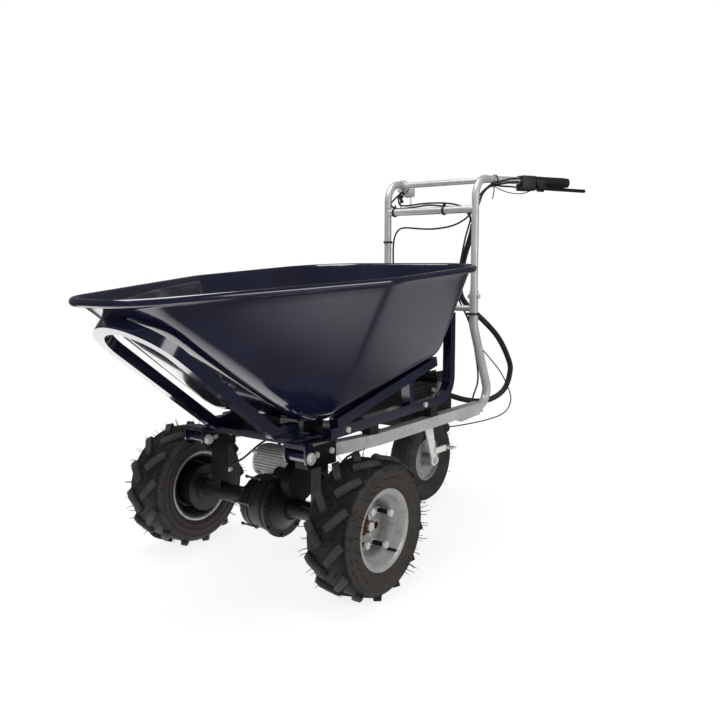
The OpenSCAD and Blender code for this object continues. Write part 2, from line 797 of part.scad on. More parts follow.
module axle_hangers() {
    w = rail_d / 2 + hanger_t;
    color(black) at_axle() both() difference() {
        union() {
            difference() {
                translate([rail_x - w, hanger_front, hanger_low])
                    cube([2 * w, hanger_back - hanger_front, hanger_high - hanger_low]);
                translate([rail_x - rail_d / 2, rail_front, hanger_low + 4])
                    cube([rail_d, hanger_back - rail_front + 1, hanger_high]);
            }
            translate([rail_x - post_d[0] / 2, post_y - post_d[1] / 2, axle_z])
                cube([post_d[0], post_d[1], hanger_low - axle_z + 1]);
        }
        bolt_holes();
        translate([0, 0, axle_z]) rod_x(tube_r, rail_x - 40, rail_x + 40);
        translate([0, pivot_y, pivot_z]) rod_x(sleeve_r, rail_x - 40, rail_x + 40);
        translate([0, -60, axle_z - 60]) cube([400, 120, 60]);
    }
}

module pivot_sleeves() {
    color(zinc) at_axle() both() translate([rail_x, pivot_y, pivot_z])
        ring_x(sleeve_r, pivot_r + run, -sleeve_len / 2, sleeve_len / 2);
}

// Drive axle
module axle_tubes() {
    x0 = diff_half;
    x1 = track / 2 - tube_end;
    color(iron) at_axle() both() translate([0, 0, axle_z]) difference() {
        union() {
            rod_x(tube_r, x0, x1);
            rod_x(tube_r + 12, x1 - 8, x1 - 4);
        }
        rod_x(shaft_r + 3, x0 - 1, x1 + 1);
        rod_x(bearing_r, x1 - bearing_len - 4, x1 + 1);
    }
}

module diff_housing() {
    wall = 6;
    inner = diff_r - wall;
    flat = diff_flat;
    color(iron) at_axle() translate([0, 0, axle_z]) difference() {
        union() {
            rod_x(diff_r, -diff_belly, flat);
            rod_x(diff_r + 10, flat - 1, flat + 5);
            turned_x() diff_end();
            mirror([1, 0, 0]) turned_x() diff_nose();
        }
        rod_x(inner, -diff_belly, flat - wall);
        rod_x(cage_r + 8, -flat + wall, flat - wall);
        rod_x(carrier_hub_r + run, -diff_half + 6, diff_half - 6);
        rod_x(shaft_r + 3, -diff_half - 1, diff_half + 1);
        translate([0, idler_c[0], idler_c[1]])
            rod_x(gear_m * idler_small_n / 2 + tooth_gap + 1, ring_x[0] - 4, case_x[0]);
        for (i = [1:7])
            rotate([idler_dir + 45 * i, 0, 0]) translate([0, diff_r + 5.5, 0])
                rod_x(diff_bolt_r + bolt_gap, 0, diff_half);
    }
}

// Outline of a tapered end of the differential's housing
module diff_end() {
    polygon([
        [0, diff_flat - 1], [diff_r, diff_flat - 1], [diff_r, diff_flat],
        [tube_r + 8, diff_half - 6], [tube_r + 8, diff_half], [0, diff_half],
    ]);
}

// Outline of the rounded left end
module diff_nose() {
    polygon([
        [0, diff_belly - 1], [diff_r, diff_belly - 1], [diff_r, diff_belly],
        [diff_r - 4, diff_belly + 22], [diff_r - 12, diff_flat - 4],
        [tube_r + 8, diff_half - 6], [tube_r + 8, diff_half], [0, diff_half],
    ]);
}

module gear_case() {
    idler_r = gear_m * idler_large_n / 2 + tooth_gap;
    pinion_r = gear_m * pinion_n / 2 + tooth_gap;
    small_r = gear_m * idler_small_n / 2 + tooth_gap;
    color(black) at_axle() translate([0, 0, axle_z]) difference() {
        union() {
            translate([0, idler_c[0], idler_c[1]]) {
                rod_x(idler_r + case_wall, case_x[0], case_x[1]);
                rod_x(small_r + case_wall, ring_x[0] - 4, case_x[0]);
                for (i = [0:4])
                    rod_x(idler_r + case_wall + 2, case_x[0] + 2 + 5 * i, case_x[0] + 4 + 5 * i);
            }
            translate([0, motor_c[0], motor_c[1]]) rod_x(pinion_r + case_wall, case_x[0], case_x[1]);
        }
        translate([0, idler_c[0], idler_c[1]]) {
            rod_x(idler_r, case_x[0] + 5, case_x[1] - 5);
            rod_x(small_r, ring_x[0] - 1, case_x[0] - 5);
            rod_x(idler_shaft_r + run, ring_x[0] - 3.5, case_x[1] - 2);
        }
        translate([0, motor_c[0], motor_c[1]]) {
            rod_x(pinion_r, case_x[0] + 5, case_x[1] - 5);
            rod_x(motor_shaft_r + run, case_x[0] - 1, case_x[1] - 2);
        }
        rod_x(diff_r, -diff_half, diff_flat);
        rod_x(diff_r + 10, diff_flat - 1, diff_flat + 5);
        turned_x() diff_end();
        rod_x(tube_r, 0, 200);
    }
}

module motor_housing() {
    core_r = motor_r - 7;
    fins = 28;
    end_t = 8;
    case_r = gear_m * idler_small_n / 2 + tooth_gap + case_wall;
    near = [[-motor_c, diff_r + 12], [idler_c - motor_c, case_r]];
    color(alloy) at_axle() translate([0, motor_c[0], axle_z + motor_c[1]]) {
        difference() {
            union() {
                rod_x(core_r, motor_x[0], motor_x[1]);
                rod_x(motor_r, motor_x[0] + 8, motor_x[0] + 12);
            }
            rod_x(core_r - 11, motor_x[0] + end_t, motor_x[1] - end_t);
            rod_x(motor_shaft_r + run, motor_x[0] + 3, motor_x[1] + 1);
            translate([0, -motor_c[0], -motor_c[1]]) rod_x(diff_r + 11, diff_flat - 7, diff_flat + 13);
            translate([0, idler_c[0] - motor_c[0], idler_c[1] - motor_c[1]])
                rod_x(case_r, ring_x[0] - 4, case_x[0]);
        }
        for (i = [0:fins - 1]) {
            a = 360 / fins * i;
            top = min([motor_r - 0.5, for (e = near) free_reach(e[0], e[1], a) - 2]);
            if (top > core_r + 1.5) rotate([a, 0, 0])
                translate([motor_x[0] + 10, core_r - 2, -1.2])
                    cube([motor_x[1] - motor_x[0] - 24, top - core_r + 2, 2.4]);
        }
    }
}

module rotor() {
    color(alloy) at_axle() translate([0, motor_c[0], axle_z + motor_c[1]]) {
        rod_x(motor_shaft_r, motor_x[0] + 4, case_x[1] - 3);
        rod_x(motor_r - 7 - 12, motor_x[0] + 16, motor_x[1] - 16);
        gear_x(pinion_n, motor_dir + 180 + 180 / pinion_n, case_x[0] + 7, case_x[1] - 8);
    }
}

module idler_gear() {
    color(alloy) at_axle() translate([0, idler_c[0], axle_z + idler_c[1]]) {
        rod_x(idler_shaft_r, ring_x[0] - 3, case_x[1] - 3);
        gear_x(idler_small_n, idler_dir + 180 + 180 / idler_small_n, ring_x[0], ring_x[1]);
        gear_x(idler_large_n, motor_dir, case_x[0] + 7, case_x[1] - 8);
    }
}

module diff_carrier() {
    cage = 36;
    color(alloy) at_axle() translate([0, 0, axle_z]) difference() {
        union() {
            gear_x(ring_n, idler_dir, ring_x[0], ring_x[1]);
            rod_x(cage_r, -cage, ring_x[0]);
            rod_x(carrier_hub_r, -diff_half + 27, diff_half - 27);
        }
        rod_x(cage_r - 6, -cage + 6, ring_x[0] - 4);
        rod_x(shaft_r + 0.5, -diff_half, diff_half);
    }
    color(alloy) at_axle() translate([0, 0, axle_z]) {
        cylinder(r = 4, h = 2 * (cage_r - 6), center = true);
        for (s = [-1, 1])
            mirror([0, 0, s < 0 ? 1 : 0]) translate([0, 0, 17]) difference() {
                cylinder(r1 = 5.5, r2 = 9.5, h = 9);
                cylinder(r = 4, h = 20, center = true);
            }
    }
}

module half_shaft() {
    x0 = 9 - track / 2;
    color(zinc) {
        rod_x(shaft_r, x0 + 2, shaft_end);
        translate([x0, 0, 0]) rotate([0, 90, 0]) cylinder(r1 = 10, r2 = 17, h = 9);
    }
}

module half_shaft_left() { wheel_at(-1) half_shaft(); }
module half_shaft_right() { wheel_at(1) half_shaft(); }

module axle_bearings() {
    x1 = track / 2 - tube_end;
    color(zinc) at_axle() both() translate([0, 0, axle_z])
        ring_x(bearing_r, shaft_r + run, x1 - bearing_len - 4, x1 - 4);
}

// Wheels
module tyre() {
    h = tyre_w / 2;
    in_x = rim_w / 2 - rim_t;
    base_r = tyre_r - lug_h;
    wall = 7;
    outer = [
        [seat_r, in_x], [rim_r + 1, in_x], [rim_r + 8, h - 4], [rim_r + 20, h - 0.5], [rim_r + 34, h],
        [base_r - 8, h - 3], [base_r - 1, h - 12], [base_r + 1, h - 30], [base_r + 2, 0],
    ];
    inner = [
        [base_r + 2 - wall, 0], [base_r - wall, h - 30], [base_r - 10, h - 17], [rim_r + 30, h - wall],
        [rim_r + 18, h - wall], [rim_r + 8, in_x - 4], [rim_r, in_x - 10], [seat_r, in_x - 10],
    ];
    function flip(p) = [for (i = [len(p) - 1:-1:0]) if (p[i][1] > 0) [p[i][0], -p[i][1]]];
    color(rubber) {
        turned_x() polygon(concat(outer, flip(outer), flip(inner), inner));
        intersection() {
            rod_x(tyre_r, -h + 1, h - 1);
            for (s = [-1, 1], i = [0:lug_n - 1])
                rotate([360 / lug_n * (i + (s > 0 ? 0.5 : 0)), 0, 0])
                    translate([s * h * 0.47, 0, base_r - 2]) rotate([0, 0, 90 * s - s * lug_slant])
                        translate([-lug_len / 2, -lug_w / 2, 0]) cube([lug_len, lug_w, lug_h + 4]);
        }
    }
}

module tyre_left() { wheel_at(-1) tyre(); }
module tyre_right() { wheel_at(1) tyre(); }

module rim() {
    w = rim_w / 2;
    well = seat_r - 12;
    outer = [[rim_r, w], [rim_r, w - rim_t], [seat_r, w - rim_t], [seat_r, w - 18], [well, w - 30]];
    inner = [[well - rim_t, w - 30 + 1], [seat_r - rim_t, w - 18 + 1], [seat_r - rim_t, w]];
    function flip(p) = [for (i = [len(p) - 1:-1:0]) [p[i][0], -p[i][1]]];
    color(grey) difference() {
        union() {
            turned_x() polygon(concat(outer, flip(outer), flip(inner), inner));
            ring_x(well - 1, hub_r + 1, disc_x, disc_x + rim_t);
        }
        for (i = [0:3])
            rotate([90 * i + stud_turn, 0, 0]) {
                translate([0, wheel_pcd / 2, 0]) rod_x(stud_r + bolt_gap, disc_x - 5, disc_x + 20);
                rotate([45, 0, 0]) translate([0, wheel_pcd / 2 - 2, 0]) rod_x(8, disc_x - 5, disc_x + 20);
            }
    }
}

module rim_left() { wheel_at(-1) rim(); }
module rim_right() { wheel_at(1) rim(); }

// Brake drum, hub flange and studs
module hub() {
    color(iron) difference() {
        union() {
            rod_x(drum_r, drum_x[0], drum_x[1]);
            rod_x(hub_r, drum_x[1], hub_end);
            rod_x(hub_flange_r, disc_x - hub_flange_t, disc_x);
            for (i = [0:3])
                rotate([90 * i + stud_turn, 0, 0]) translate([0, wheel_pcd / 2, 0])
                    rod_x(stud_r, disc_x - 1, stud_end);
        }
        rod_x(drum_r - 6, drum_x[0] - 1, drum_x[1] - 6);
        rod_x(shaft_r + run, -100, 100);
    }
}

module hub_left() { wheel_at(-1) hub(); }
module hub_right() { wheel_at(1) hub(); }

module wheel_nuts() {
    x0 = disc_x + rim_t;
    color(zinc) for (i = [0:3])
        rotate([90 * i + stud_turn, 0, 0]) translate([0, wheel_pcd / 2, 0]) difference() {
            union() {
                hex_x(stud_r * 1.7, x0, x0 + nut_len);
                rod_x(stud_r * 1.6, stud_end - 5, stud_end + 2);
            }
            rod_x(stud_r + run, x0 - 1, stud_end + 0.3);
        }
    color(bronze) difference() {
        union() {
            rod_x(shaft_r + 9, hub_end, hub_end + 3);
            hex_x(shaft_r * 1.6, hub_end + 3, hub_end + 15);
        }
        rod_x(shaft_r + run, hub_end - 1, hub_end + 20);
        for (i = [0:2])
            rotate([60 * i, 0, 0]) translate([hub_end + 10, -2, -30]) cube([10, 4, 60]);
    }
}

module wheel_nuts_left() { wheel_at(-1) wheel_nuts(); }
module wheel_nuts_right() { wheel_at(1) wheel_nuts(); }

// Drum brakes
module backing_plates() {
    color(black) both() wheel_at(1) difference() {
        rod_x(drum_r + 4, plate_x[0], plate_x[1]);
        rod_x(tube_r, plate_x[0] - 1, plate_x[1] + 1);
        translate([0, arm_c[0], arm_c[1]]) rod_x(arm_r + run, plate_x[0] - 1, plate_x[1] + 1);
    }
}

module brake_shoes() {
    shoe = drum_r - 6 - 1.5;
    x0 = plate_x[1];
    color(iron) both() wheel_at(1) for (a = [45, 225])
        intersection() {
            ring_x(shoe, shoe - 9, x0, drum_x[1] - 8);
            rotate([a, 0, 0]) translate([x0 - 1, -100, -70]) cube([100, 200, 48]);
        }
}

module brake_arm() {
    len = 46;
    x0 = plate_x[0] - 9;
    color(zinc) translate([0, arm_c[0], arm_c[1]]) {
        rod_x(arm_r, x0, plate_x[1] + 2);
        rod_x(2.5, x0, drum_x[0] + 10);
        difference() {
            union() {
                rod_x(arm_r + 4, x0, x0 + 5);
                translate([x0, 0, -5]) cube([5, len, 10]);
                translate([0, len, 0]) rod_x(5, x0, x0 + 5);
            }
            translate([0, len, 0]) rod_x(2.5, x0 - 1, x0 + 6);
        }
        translate([drum_x[0] + 2, -2.5, -4]) cube([12, 5, 8]);
    }
}

module brake_arm_left() { wheel_at(-1) brake_arm(); }
module brake_arm_right() { wheel_at(1) brake_arm(); }

// Rear caster
module caster_plate() {
    px = caster_bolt[0] + 24;
    py = caster_bolt[1] + 24;
    color(zinc) at_axle() translate([0, caster_y, 0]) difference() {
        union() {
            translate([-px / 2, -py / 2, bearing_top]) cube([px, py, caster_plate_t]);
            translate([0, 0, bearing_top - bearing_h]) cylinder(r = 30, h = bearing_h);
        }
        translate([0, 0, bearing_top - bearing_h - 1]) cylinder(r = kingpin_r + run, h = bearing_h + 3);
        for (sx = [-1, 1], sy = [-1, 1])
            translate([sx * caster_bolt[0] / 2, sy * caster_bolt[1] / 2, bearing_top - 1])
                cylinder(r = frame_bolt_r + bolt_gap, h = 20);
    }
}

module caster_fork() {
    leg_w = 46;
    crown_t = 7;
    h = fork_top - caster_r;
    color(zinc) at_axle() translate([0, caster_y, 0]) difference() {
        union() {
            translate([0, 0, fork_top - 0.5]) cylinder(r = kingpin_r, h = bearing_h + 2);
            translate([0, 0, fork_top - crown_t]) cylinder(r = 30, h = crown_t);
            translate([-fork_x, -leg_w / 2, fork_top - crown_t]) cube([2 * fork_x, leg_w, crown_t]);
            for (s = [-1, 1])
                side_prism(s > 0 ? fork_x - fork_t : -fork_x, s > 0 ? fork_x : fork_t - fork_x) {
                    polygon([
                        [-leg_w / 2, fork_top], [leg_w / 2, fork_top],
                        [caster_trail + 14, caster_r], [caster_trail - 14, caster_r],
                    ]);
                    translate([caster_trail, caster_r]) circle(17);
                }
        }
        translate([0, caster_trail, caster_r]) rod_x(caster_axle_r + bolt_gap, -100, 100);
        translate([0, pedal_c[0], pedal_c[1]]) rod_x(3 + run, fork_x - fork_t - 1, fork_x + 1);
    }
}

pedal_c = [caster_trail + 4, caster_r + 30];

module caster_tyre() {
    h = caster_w / 2;
    r0 = caster_rim_r;
    color(rubber) at_axle() translate([0, caster_back, caster_r]) turned_x()
        polygon([
            [r0, h - 16], [r0 + 12, h - 8], [r0 + 26, h - 1], [caster_r - 26, h], [caster_r - 12, h - 6],
            [caster_r - 4, h - 16], [caster_r, h - 30], [caster_r, 30 - h], [caster_r - 4, 16 - h],
            [caster_r - 12, 6 - h], [caster_r - 26, -h], [r0 + 26, 1 - h], [r0 + 12, 8 - h], [r0, 16 - h],
        ]);
}

module caster_rim() {
    h = caster_w / 2;
    r0 = caster_rim_r;
    t = 3;
    color(grey) at_axle() translate([0, caster_back, caster_r]) difference() {
        union() {
            ring_x(r0, r0 - t, 16 - h, h - 16);
            for (s = [-1, 1])
                ring_x(r0 - 1, caster_axle_r + 12, s > 0 ? 8 : -11, s > 0 ? 11 : -8);
            rod_x(caster_axle_r + 13, fork_t - fork_x + gap, fork_x - fork_t - gap);
        }
        rod_x(caster_axle_r + run, -100, 100);
    }
}

module caster_axle() {
    color(zinc) at_axle() translate([0, caster_back, caster_r]) bolt_x(caster_axle_r, -fork_x, fork_x);
}

module caster_pedal() {
    color(zinc) at_axle() translate([0, caster_y + pedal_c[0], pedal_c[1]]) {
        rod_x(3, fork_x - fork_t - 0.5, fork_x + 7);
        translate([fork_x + gap, -9, -9]) cube([6, 62, 18]);
        translate([fork_x + gap, 50, -3]) cube([30, 26, 6]);
    }
}

// Power pieces on the deck
module battery_box() {
    y0 = 392;
    y1 = 588;
    w = 236;
    h = 96;
    color(black) at_axle() translate([0, y0, deck_top]) {
        translate([-w / 2, 0, 0]) cube([w, y1 - y0, h - 18]);
        translate([-w / 2 - 4, -4, h - 18]) cube([w + 8, y1 - y0 + 8, 18]);
        for (s = [-1, 1])
            translate([s * (w / 2 - 40) - 18, (y1 - y0) / 2 - 60, h]) cube([36, 120, 4]);
    }
}

module controller_box() {
    y0 = 606;
    y1 = 690;
    w = 200;
    h = 120;
    fins = 9;
    color(black) at_axle() translate([0, y0, deck_top]) {
        difference() {
            translate([-w / 2, 0, 0]) cube([w, y1 - y0, h - 10]);
            for (s = [-1, 1])
                translate([s * caster_bolt[0] / 2, caster_y + caster_bolt[1] / 2 - y0, -1])
                    cylinder(r = 2.5 * frame_bolt_r, h = 8);
        }
        for (i = [0:fins - 1])
            translate([-w / 2 + 6 + i * (w - 16) / (fins - 1), 4, h - 10]) cube([4, y1 - y0 - 8, 10]);
        translate([w / 2, 40, 70]) rotate([0, 90, 0]) cylinder(r = 15, h = 10);
    }
}

module rest_pads() {
    color(rubber) at_axle() both() for (y = [190, 470]) {
        side_prism(rail_x - 12, rail_x + 12)
            polygon([
                [y - 18, rail_z(y - 18) + rail_d / 2], [y + 18, rail_z(y + 18) + rail_d / 2],
                [y + 18, sub_z(y + 18) - sub_d / 2 / cos(sub_tilt) - gap],
                [y - 18, sub_z(y - 18) - sub_d / 2 / cos(sub_tilt) - gap],
            ]);
    }
}

module buzzer() {
    y0 = 520;
    y1 = 562;
    r = 15;
    z = rail_z(y0) - rail_d / 2 - r;
    color(black) at_axle() {
        translate([rail_x, y0, z]) rotate([-90, 0, 0]) cylinder(r = r, h = y1 - y0 - 12);
        translate([rail_x, y1 - 12, z]) rotate([-90, 0, 0]) cylinder(r = r - 4, h = 6);
        translate([rail_x - 10, y0 + 4, z]) cube([20, 20, rail_z(y0 + 14) - rail_d / 2 - z - 0.2]);
    }
}

// Handle controls
module grip_right() {
    color(rubber) on_bar(1) grip();
}

module grip() {
    ribs = 9;
    translate([0, 0, grip_s]) difference() {
        union() {
            cylinder(r = grip_r - 2.5, h = grip_len);
            cylinder(r = grip_r, h = 5);
            for (i = [0:ribs - 1])
                translate([0, 0, 10 + i * (grip_len - 16) / ribs]) cylinder(r = grip_r - 1.5, h = 5);
            translate([0, 0, grip_len - 5]) cylinder(r = grip_r - 1, h = 5);
        }
        translate([0, 0, -1]) cylinder(r = bar_r + run, h = grip_len - 1);
    }
}

module throttle_grip() {
    color(rubber) on_bar(-1) grip();
}

module lever_perches() {
    for (side = [-1, 1])
        color(black) on_lever(side) {
            difference() {
                union() {
                    translate([0, 0, perch_s[0]]) cylinder(r = bar_r + 5, h = perch_s[1] - perch_s[0]);
                    for (s = [-1, 1])
                        translate([s * (lever_w / 2 + gap + 2) - 2, 8, perch_s[0] + 4])
                            cube([4, lever_out - 2, perch_s[1] - perch_s[0] - 8]);
                    translate([-lever_w / 2 - gap - 4, 8, perch_s[0]])
                        cube([lever_w + 2 * gap + 8, lever_out - 2, 5]);
                }
                translate([0, 0, perch_s[0] - 1]) cylinder(r = bar_r + run, h = 60);
                translate([0, lever_out, lever_s]) rotate([0, 90, 0])
                    cylinder(r = 8, h = lever_w + 2 * gap, center = true);
            }
            translate([0, lever_out, lever_s]) rotate([0, 90, 0])
                cylinder(r = lever_pin_r, h = lever_w + 2 * gap + 8, center = true);
        }
}

module brake_lever(side) {
    low = [lever_out, lever_s];
    tip = [lever_tip_out, lever_tip_s];
    color(black) on_lever(side) difference() {
        union() {
            translate([0, lever_out, lever_s]) rotate([0, 90, 0]) cylinder(r = 7, h = lever_w, center = true);
            translate([-lever_w / 2, 0, 0]) rotate([90, 0, 90]) linear_extrude(lever_w) strip(low, tip, 7);
            translate([0, tip[0], tip[1]]) sphere(lever_ball);
        }
        translate([0, lever_out, lever_s]) rotate([0, 90, 0])
            cylinder(r = lever_pin_r + run, h = 40, center = true);
    }
}

module brake_lever_left() { brake_lever(-1); }
module brake_lever_right() { brake_lever(1); }

module switch_box() {
    h = box_s[1] - box_s[0];
    color(black) on_bar(1) translate([rocker_x, 11, rocker_s]) rotate([-90, 0, 0])
        cylinder(r = rocker_pin_r, h = 18);
    color(black) on_bar(1) difference() {
        union() {
            translate([-18, -15, box_s[0]]) cube([36, 44, h]);
            translate([0, 0, box_s[0] - 4]) cylinder(r = bar_r + 4, h = h + 8);
        }
        translate([0, 0, box_s[0] - 10]) cylinder(r = bar_r + run, h = h + 20);
        translate([-19, 21, box_s[0] + 12]) rotate([0, 90, 0]) cylinder(r = button_r + run, h = 8);
        translate([-19, 12, box_s[0] + 24]) cube([11, 16, 18]);
    }
}

module horn_button() {
    color([0.6, 0.08, 0.06]) on_bar(1) translate([-22, 21, box_s[0] + 12]) rotate([0, 90, 0])
        cylinder(r = button_r, h = 8);
}

module direction_rocker() {
    color([0.1, 0.1, 0.1]) on_bar(1) translate([rocker_x, 13, rocker_s]) difference() {
        rotate([-90, 0, 0]) cylinder(r = 8, h = 14);
        translate([-13, -1, -20]) cube([8, 40, 40]);
        rotate([-90, 0, 0]) cylinder(r = rocker_pin_r + run, h = 40, center = true);
    }
}

module throttle_housing() {
    h = box_s[1] - box_s[0];
    color(grey) on_bar(-1) difference() {
        union() {
            translate([0, 0, box_s[0]]) cylinder(r = 22, h = h);
            translate([-32, 4, box_s[0] + h / 2]) rotate([0, 90, 0]) cylinder(r = 21, h = 30);
        }
        translate([0, 0, box_s[0] - 10]) cylinder(r = bar_r + run, h = h + 20);
        translate([-60, -40, box_s[0] - 1]) cube([120, 40 - grip_r, h + 2]);
        translate([key_x, 0, box_s[0] + h / 2]) rotate([-90, 0, 0]) cylinder(r = 5 + run, h = 60);
    }
}

module key() {
    h = box_s[1] - box_s[0];
    color(zinc) on_bar(-1) translate([key_x, 12, box_s[0] + h / 2]) rotate([-90, 0, 0]) {
        cylinder(r = 5, h = 17);
        translate([-1, -4, 16]) cube([2, 8, 8]);
        translate([-1.5, 0, 30]) rotate([0, 90, 0]) cylinder(r = 9, h = 3);
    }
}

// Tub latch, drawn open
module latch_hook() {
    t = 6;
    high = latch_pin[1] + latch_pin_r + 2;
    color(zinc) at_axle() translate([latch_x, latch_y, latch_z]) rotate([-latch_open, 0, 0])
        difference() {
            translate([-t / 2, 0, 0]) rotate([90, 0, 90]) linear_extrude(t) {
                circle(10);
                strip([0, 0], [0, 66], 12);
                strip([0, high - latch_z + 5], [latch_pin[0] - latch_y - 4, high - latch_z + 5], 10);
                translate([0, 66]) circle(9);
            }
            rod_x(latch_pivot_r + run, -20, 20);
        }
}

// Tub and its frame
module tub_shell() {
    color(navy) at_axle() polyhedron([for (r = tub_rings) each r], skin_faces(len(tub_rings), tub_steps));
}

module hoop_flat(w, l, r) {
    translate([-w / 2, 0]) square([w, l - r]);
    translate([r - w / 2, 0]) square([w - 2 * r, l]);
    for (s = [-1, 1]) translate([s * (w / 2 - r), l - r]) circle(r);
}

module tub_hoop() {
    w = 2 * hoop_x + hoop_d;
    h = hoop_d / 2;
    bar_y = hoop_foot - (hoop_len - h) * cos(hoop_tilt) + h * sin(hoop_tilt);
    pad = [bar_y - 8, bar_y + 8];
    color(navy) at_axle() {
        difference() {
            translate([0, hoop_foot, plate_z]) rotate([-hoop_tilt, 0, 0]) rotate([0, 0, 180])
                translate([0, 0, -h]) linear_extrude(hoop_d) difference() {
                    translate([0, -40]) hoop_flat(w, hoop_len + 40, hoop_corner + h);
                    translate([0, -41]) hoop_flat(w - 2 * hoop_d, hoop_len + 41 - hoop_d, hoop_corner - h);
                }
            translate([-200, -200, plate_z - 100]) cube([400, 400, 100]);
        }
        for (s = [-1, 1])
            translate([s * hoop_x - h, hoop_foot - h, plate_z]) cube([hoop_d, hoop_tail + h, hoop_d]);
        side_prism(-18, 18) polygon([
            [pad[0], hoop_top_z(pad[0])], [pad[1], hoop_top_z(pad[1])],
            [pad[1], front_wall_z(pad[1])], [pad[0], front_wall_z(pad[0])],
        ]);
    }
}

module ear_outline() {
    difference() {
        union() {
            translate([pivot_y, pivot_z]) circle(ear_r);
            translate([pivot_y - ear_r, pivot_z]) square([ear_r * 1.4, plate_z - plate_t - pivot_z]);
        }
        translate([pivot_y, pivot_z]) circle(pivot_r + bolt_gap);
    }
}

module tub_cross_plate() {
    z0 = plate_z - plate_t;
    front = -pivot_fwd + 1;
    inner = ear_x0 + ear_t;
    web = [pivot_y - ear_r, hanger_front - 4];
    color(navy) at_axle() {
        difference() {
            union() {
                translate([-inner, front, z0]) cube([2 * inner, plate_back - front, plate_t]);
                translate([-inner, front, z0 - 9]) cube([2 * inner, plate_t, 9]);
                translate([-sub_x + sub_d / 2, 20, z0]) cube([2 * sub_x - sub_d, plate_back - 45, plate_t]);
            }
            for (s = [-1, 1], slot = plate_slots)
                translate([s * slot[0], 0, z0 - 1]) {
                    translate([-slot[1] / 2, -slot_r, 0]) cube([slot[1], 2 * slot_r, plate_t + 2]);
                    for (e = [-1, 1])
                        translate([e * slot[1] / 2, 0, 0]) cylinder(r = slot_r, h = plate_t + 2);
                }
        }
        both() {
            side_prism(ear_x0, ear_x0 + ear_t) {
                ear_outline();
                difference() {
                    translate([pivot_y, z0 - 24]) square([plate_back - pivot_y, 24]);
                    translate([pivot_y, pivot_z]) circle(pivot_r + bolt_gap);
                }
            }
            side_prism(ear_x1 - ear_t, ear_x1) ear_outline();
            translate([ear_x0, web[0], z0 - 10]) cube([ear_x1 - ear_x0, web[1] - web[0], 10]);
        }
        for (x = [-70, 70])
            side_prism(x - 20, x + 20) polygon([
                [plate_back - 25, z0 + plate_t], [plate_back, z0 + plate_t],
                [plate_back, floor_z(plate_back)], [plate_back - 25, floor_z(plate_back - 25)],
            ]);
    }
}

module side_outline() {
    low = bend_c + sub_bend * [sin(sub_tilt), -cos(sub_tilt)];
    strip([sub_front, sub_z(sub_front)], low, sub_d);
    translate(bend_c) sector(sub_bend, sub_d, sub_tilt - 90, 0);
    strip([sub_back, bend_c[1]], [sub_back, sub_top], sub_d);
    strip([strut_ends[0], strut_z(strut_ends[0])], [strut_ends[1], strut_z(strut_ends[1])], sub_d);
    strip([brace_y, sub_z(brace_y)], [brace_y - 6, strut_z(brace_y)], 20);
}

module tub_side_frames() {
    x0 = sub_x - sub_d / 2;
    bar_z0 = sub_top - sub_d;
    color(navy) at_axle() {
        both() side_prism(x0, x0 + sub_d) difference() {
            side_outline();
            for (y = side_bolt_ys) translate([y, sub_z(y)]) circle(side_bolt_r + bolt_gap);
        }
        for (y = strap_ys)
            translate([-x0, y, floor_z(y)]) rotate([floor_tilt, 0, 0])
                translate([0, -strap_w / 2, -5.5]) cube([2 * x0, strap_w, 5]);
        translate([-x0, sub_back - sub_d / 2, bar_z0]) cube([2 * x0, sub_d, sub_d]);
        for (s = [-1, 1])
            side_prism(s * 75 - 20, s * 75 + 20) polygon([
                [rear_wall_y(bar_z0), bar_z0], [sub_back - sub_d / 2, bar_z0],
                [sub_back - sub_d / 2, sub_top], [rear_wall_y(sub_top), sub_top],
            ]);
    }
}

module tub_bolts() {
    x0 = sub_d / 2;
    color(zinc) at_axle() both() {
        for (y = side_bolt_ys)
            translate([sub_x, y, sub_z(y)]) bolt_x(side_bolt_r, -x0, x0);
        translate([0, pivot_y, pivot_z]) {
            rod_x(pivot_r, ear_x0 - 10, ear_x1 + 3);
            difference() {
                union() {
                    rod_x(2 * pivot_r, ear_x0 - 2, ear_x0);
                    hex_x(1.7 * pivot_r, ear_x0 - 9, ear_x0 - 2);
                }
                rod_x(pivot_r, ear_x0 - 20, ear_x0 + 1);
            }
            rod_x(2.3 * pivot_r, ear_x1, ear_x1 + 3);
            hex_x(1.6 * pivot_r, ear_x1 + 3, ear_x1 + 8);
        }
    }
    color(zinc) at_axle() translate([0, latch_pin[0], latch_pin[1]])
        rod_x(latch_pin_r, latch_x - 8, sub_x - sub_d / 2);
}

// Cables
module conduit() {
    color(black) cable(conduit_route, conduit_r, 3, 10);
}

module control_cables() {
    color(black) {
        cable(switch_route, wire_r, 3, 8);
        cable(lamp_route, wire_r, 3, 8);
        cable(throttle_route, wire_r, 3, 8);
        cable(left_brake_route, wire_r, 2, 8);
        cable(right_brake_route, wire_r, 2, 8);
        cable(motor_route, motor_wire_r, 3, 8);
        cable(horn_route, horn_wire_r, 3, 8);
        cable(button_route, horn_wire_r * 0.75, 3, 8);
    }
}

module tie_ring(r) {
    rotate_extrude() translate([r + 0.1, -tie_w / 2]) square([2, tie_w]);
}

module cable_ties() {
    color(rubber) {
        at_axle() {
            for (x = cross_tie_xs) translate([x, post_back, cross_z]) rotate([0, 90, 0]) tie_ring(bar_r);
            translate([-post_x, post_back, bar_tie_z]) tie_ring(bar_r);
            translate([post_x, post_back, post_tie_z]) tie_ring(post_r);
        }
        on_bar(1) translate([3, 5, 4]) tie_ring(17);
        on_bar(-1) translate([0, 4, 4]) tie_ring(19);
    }
}

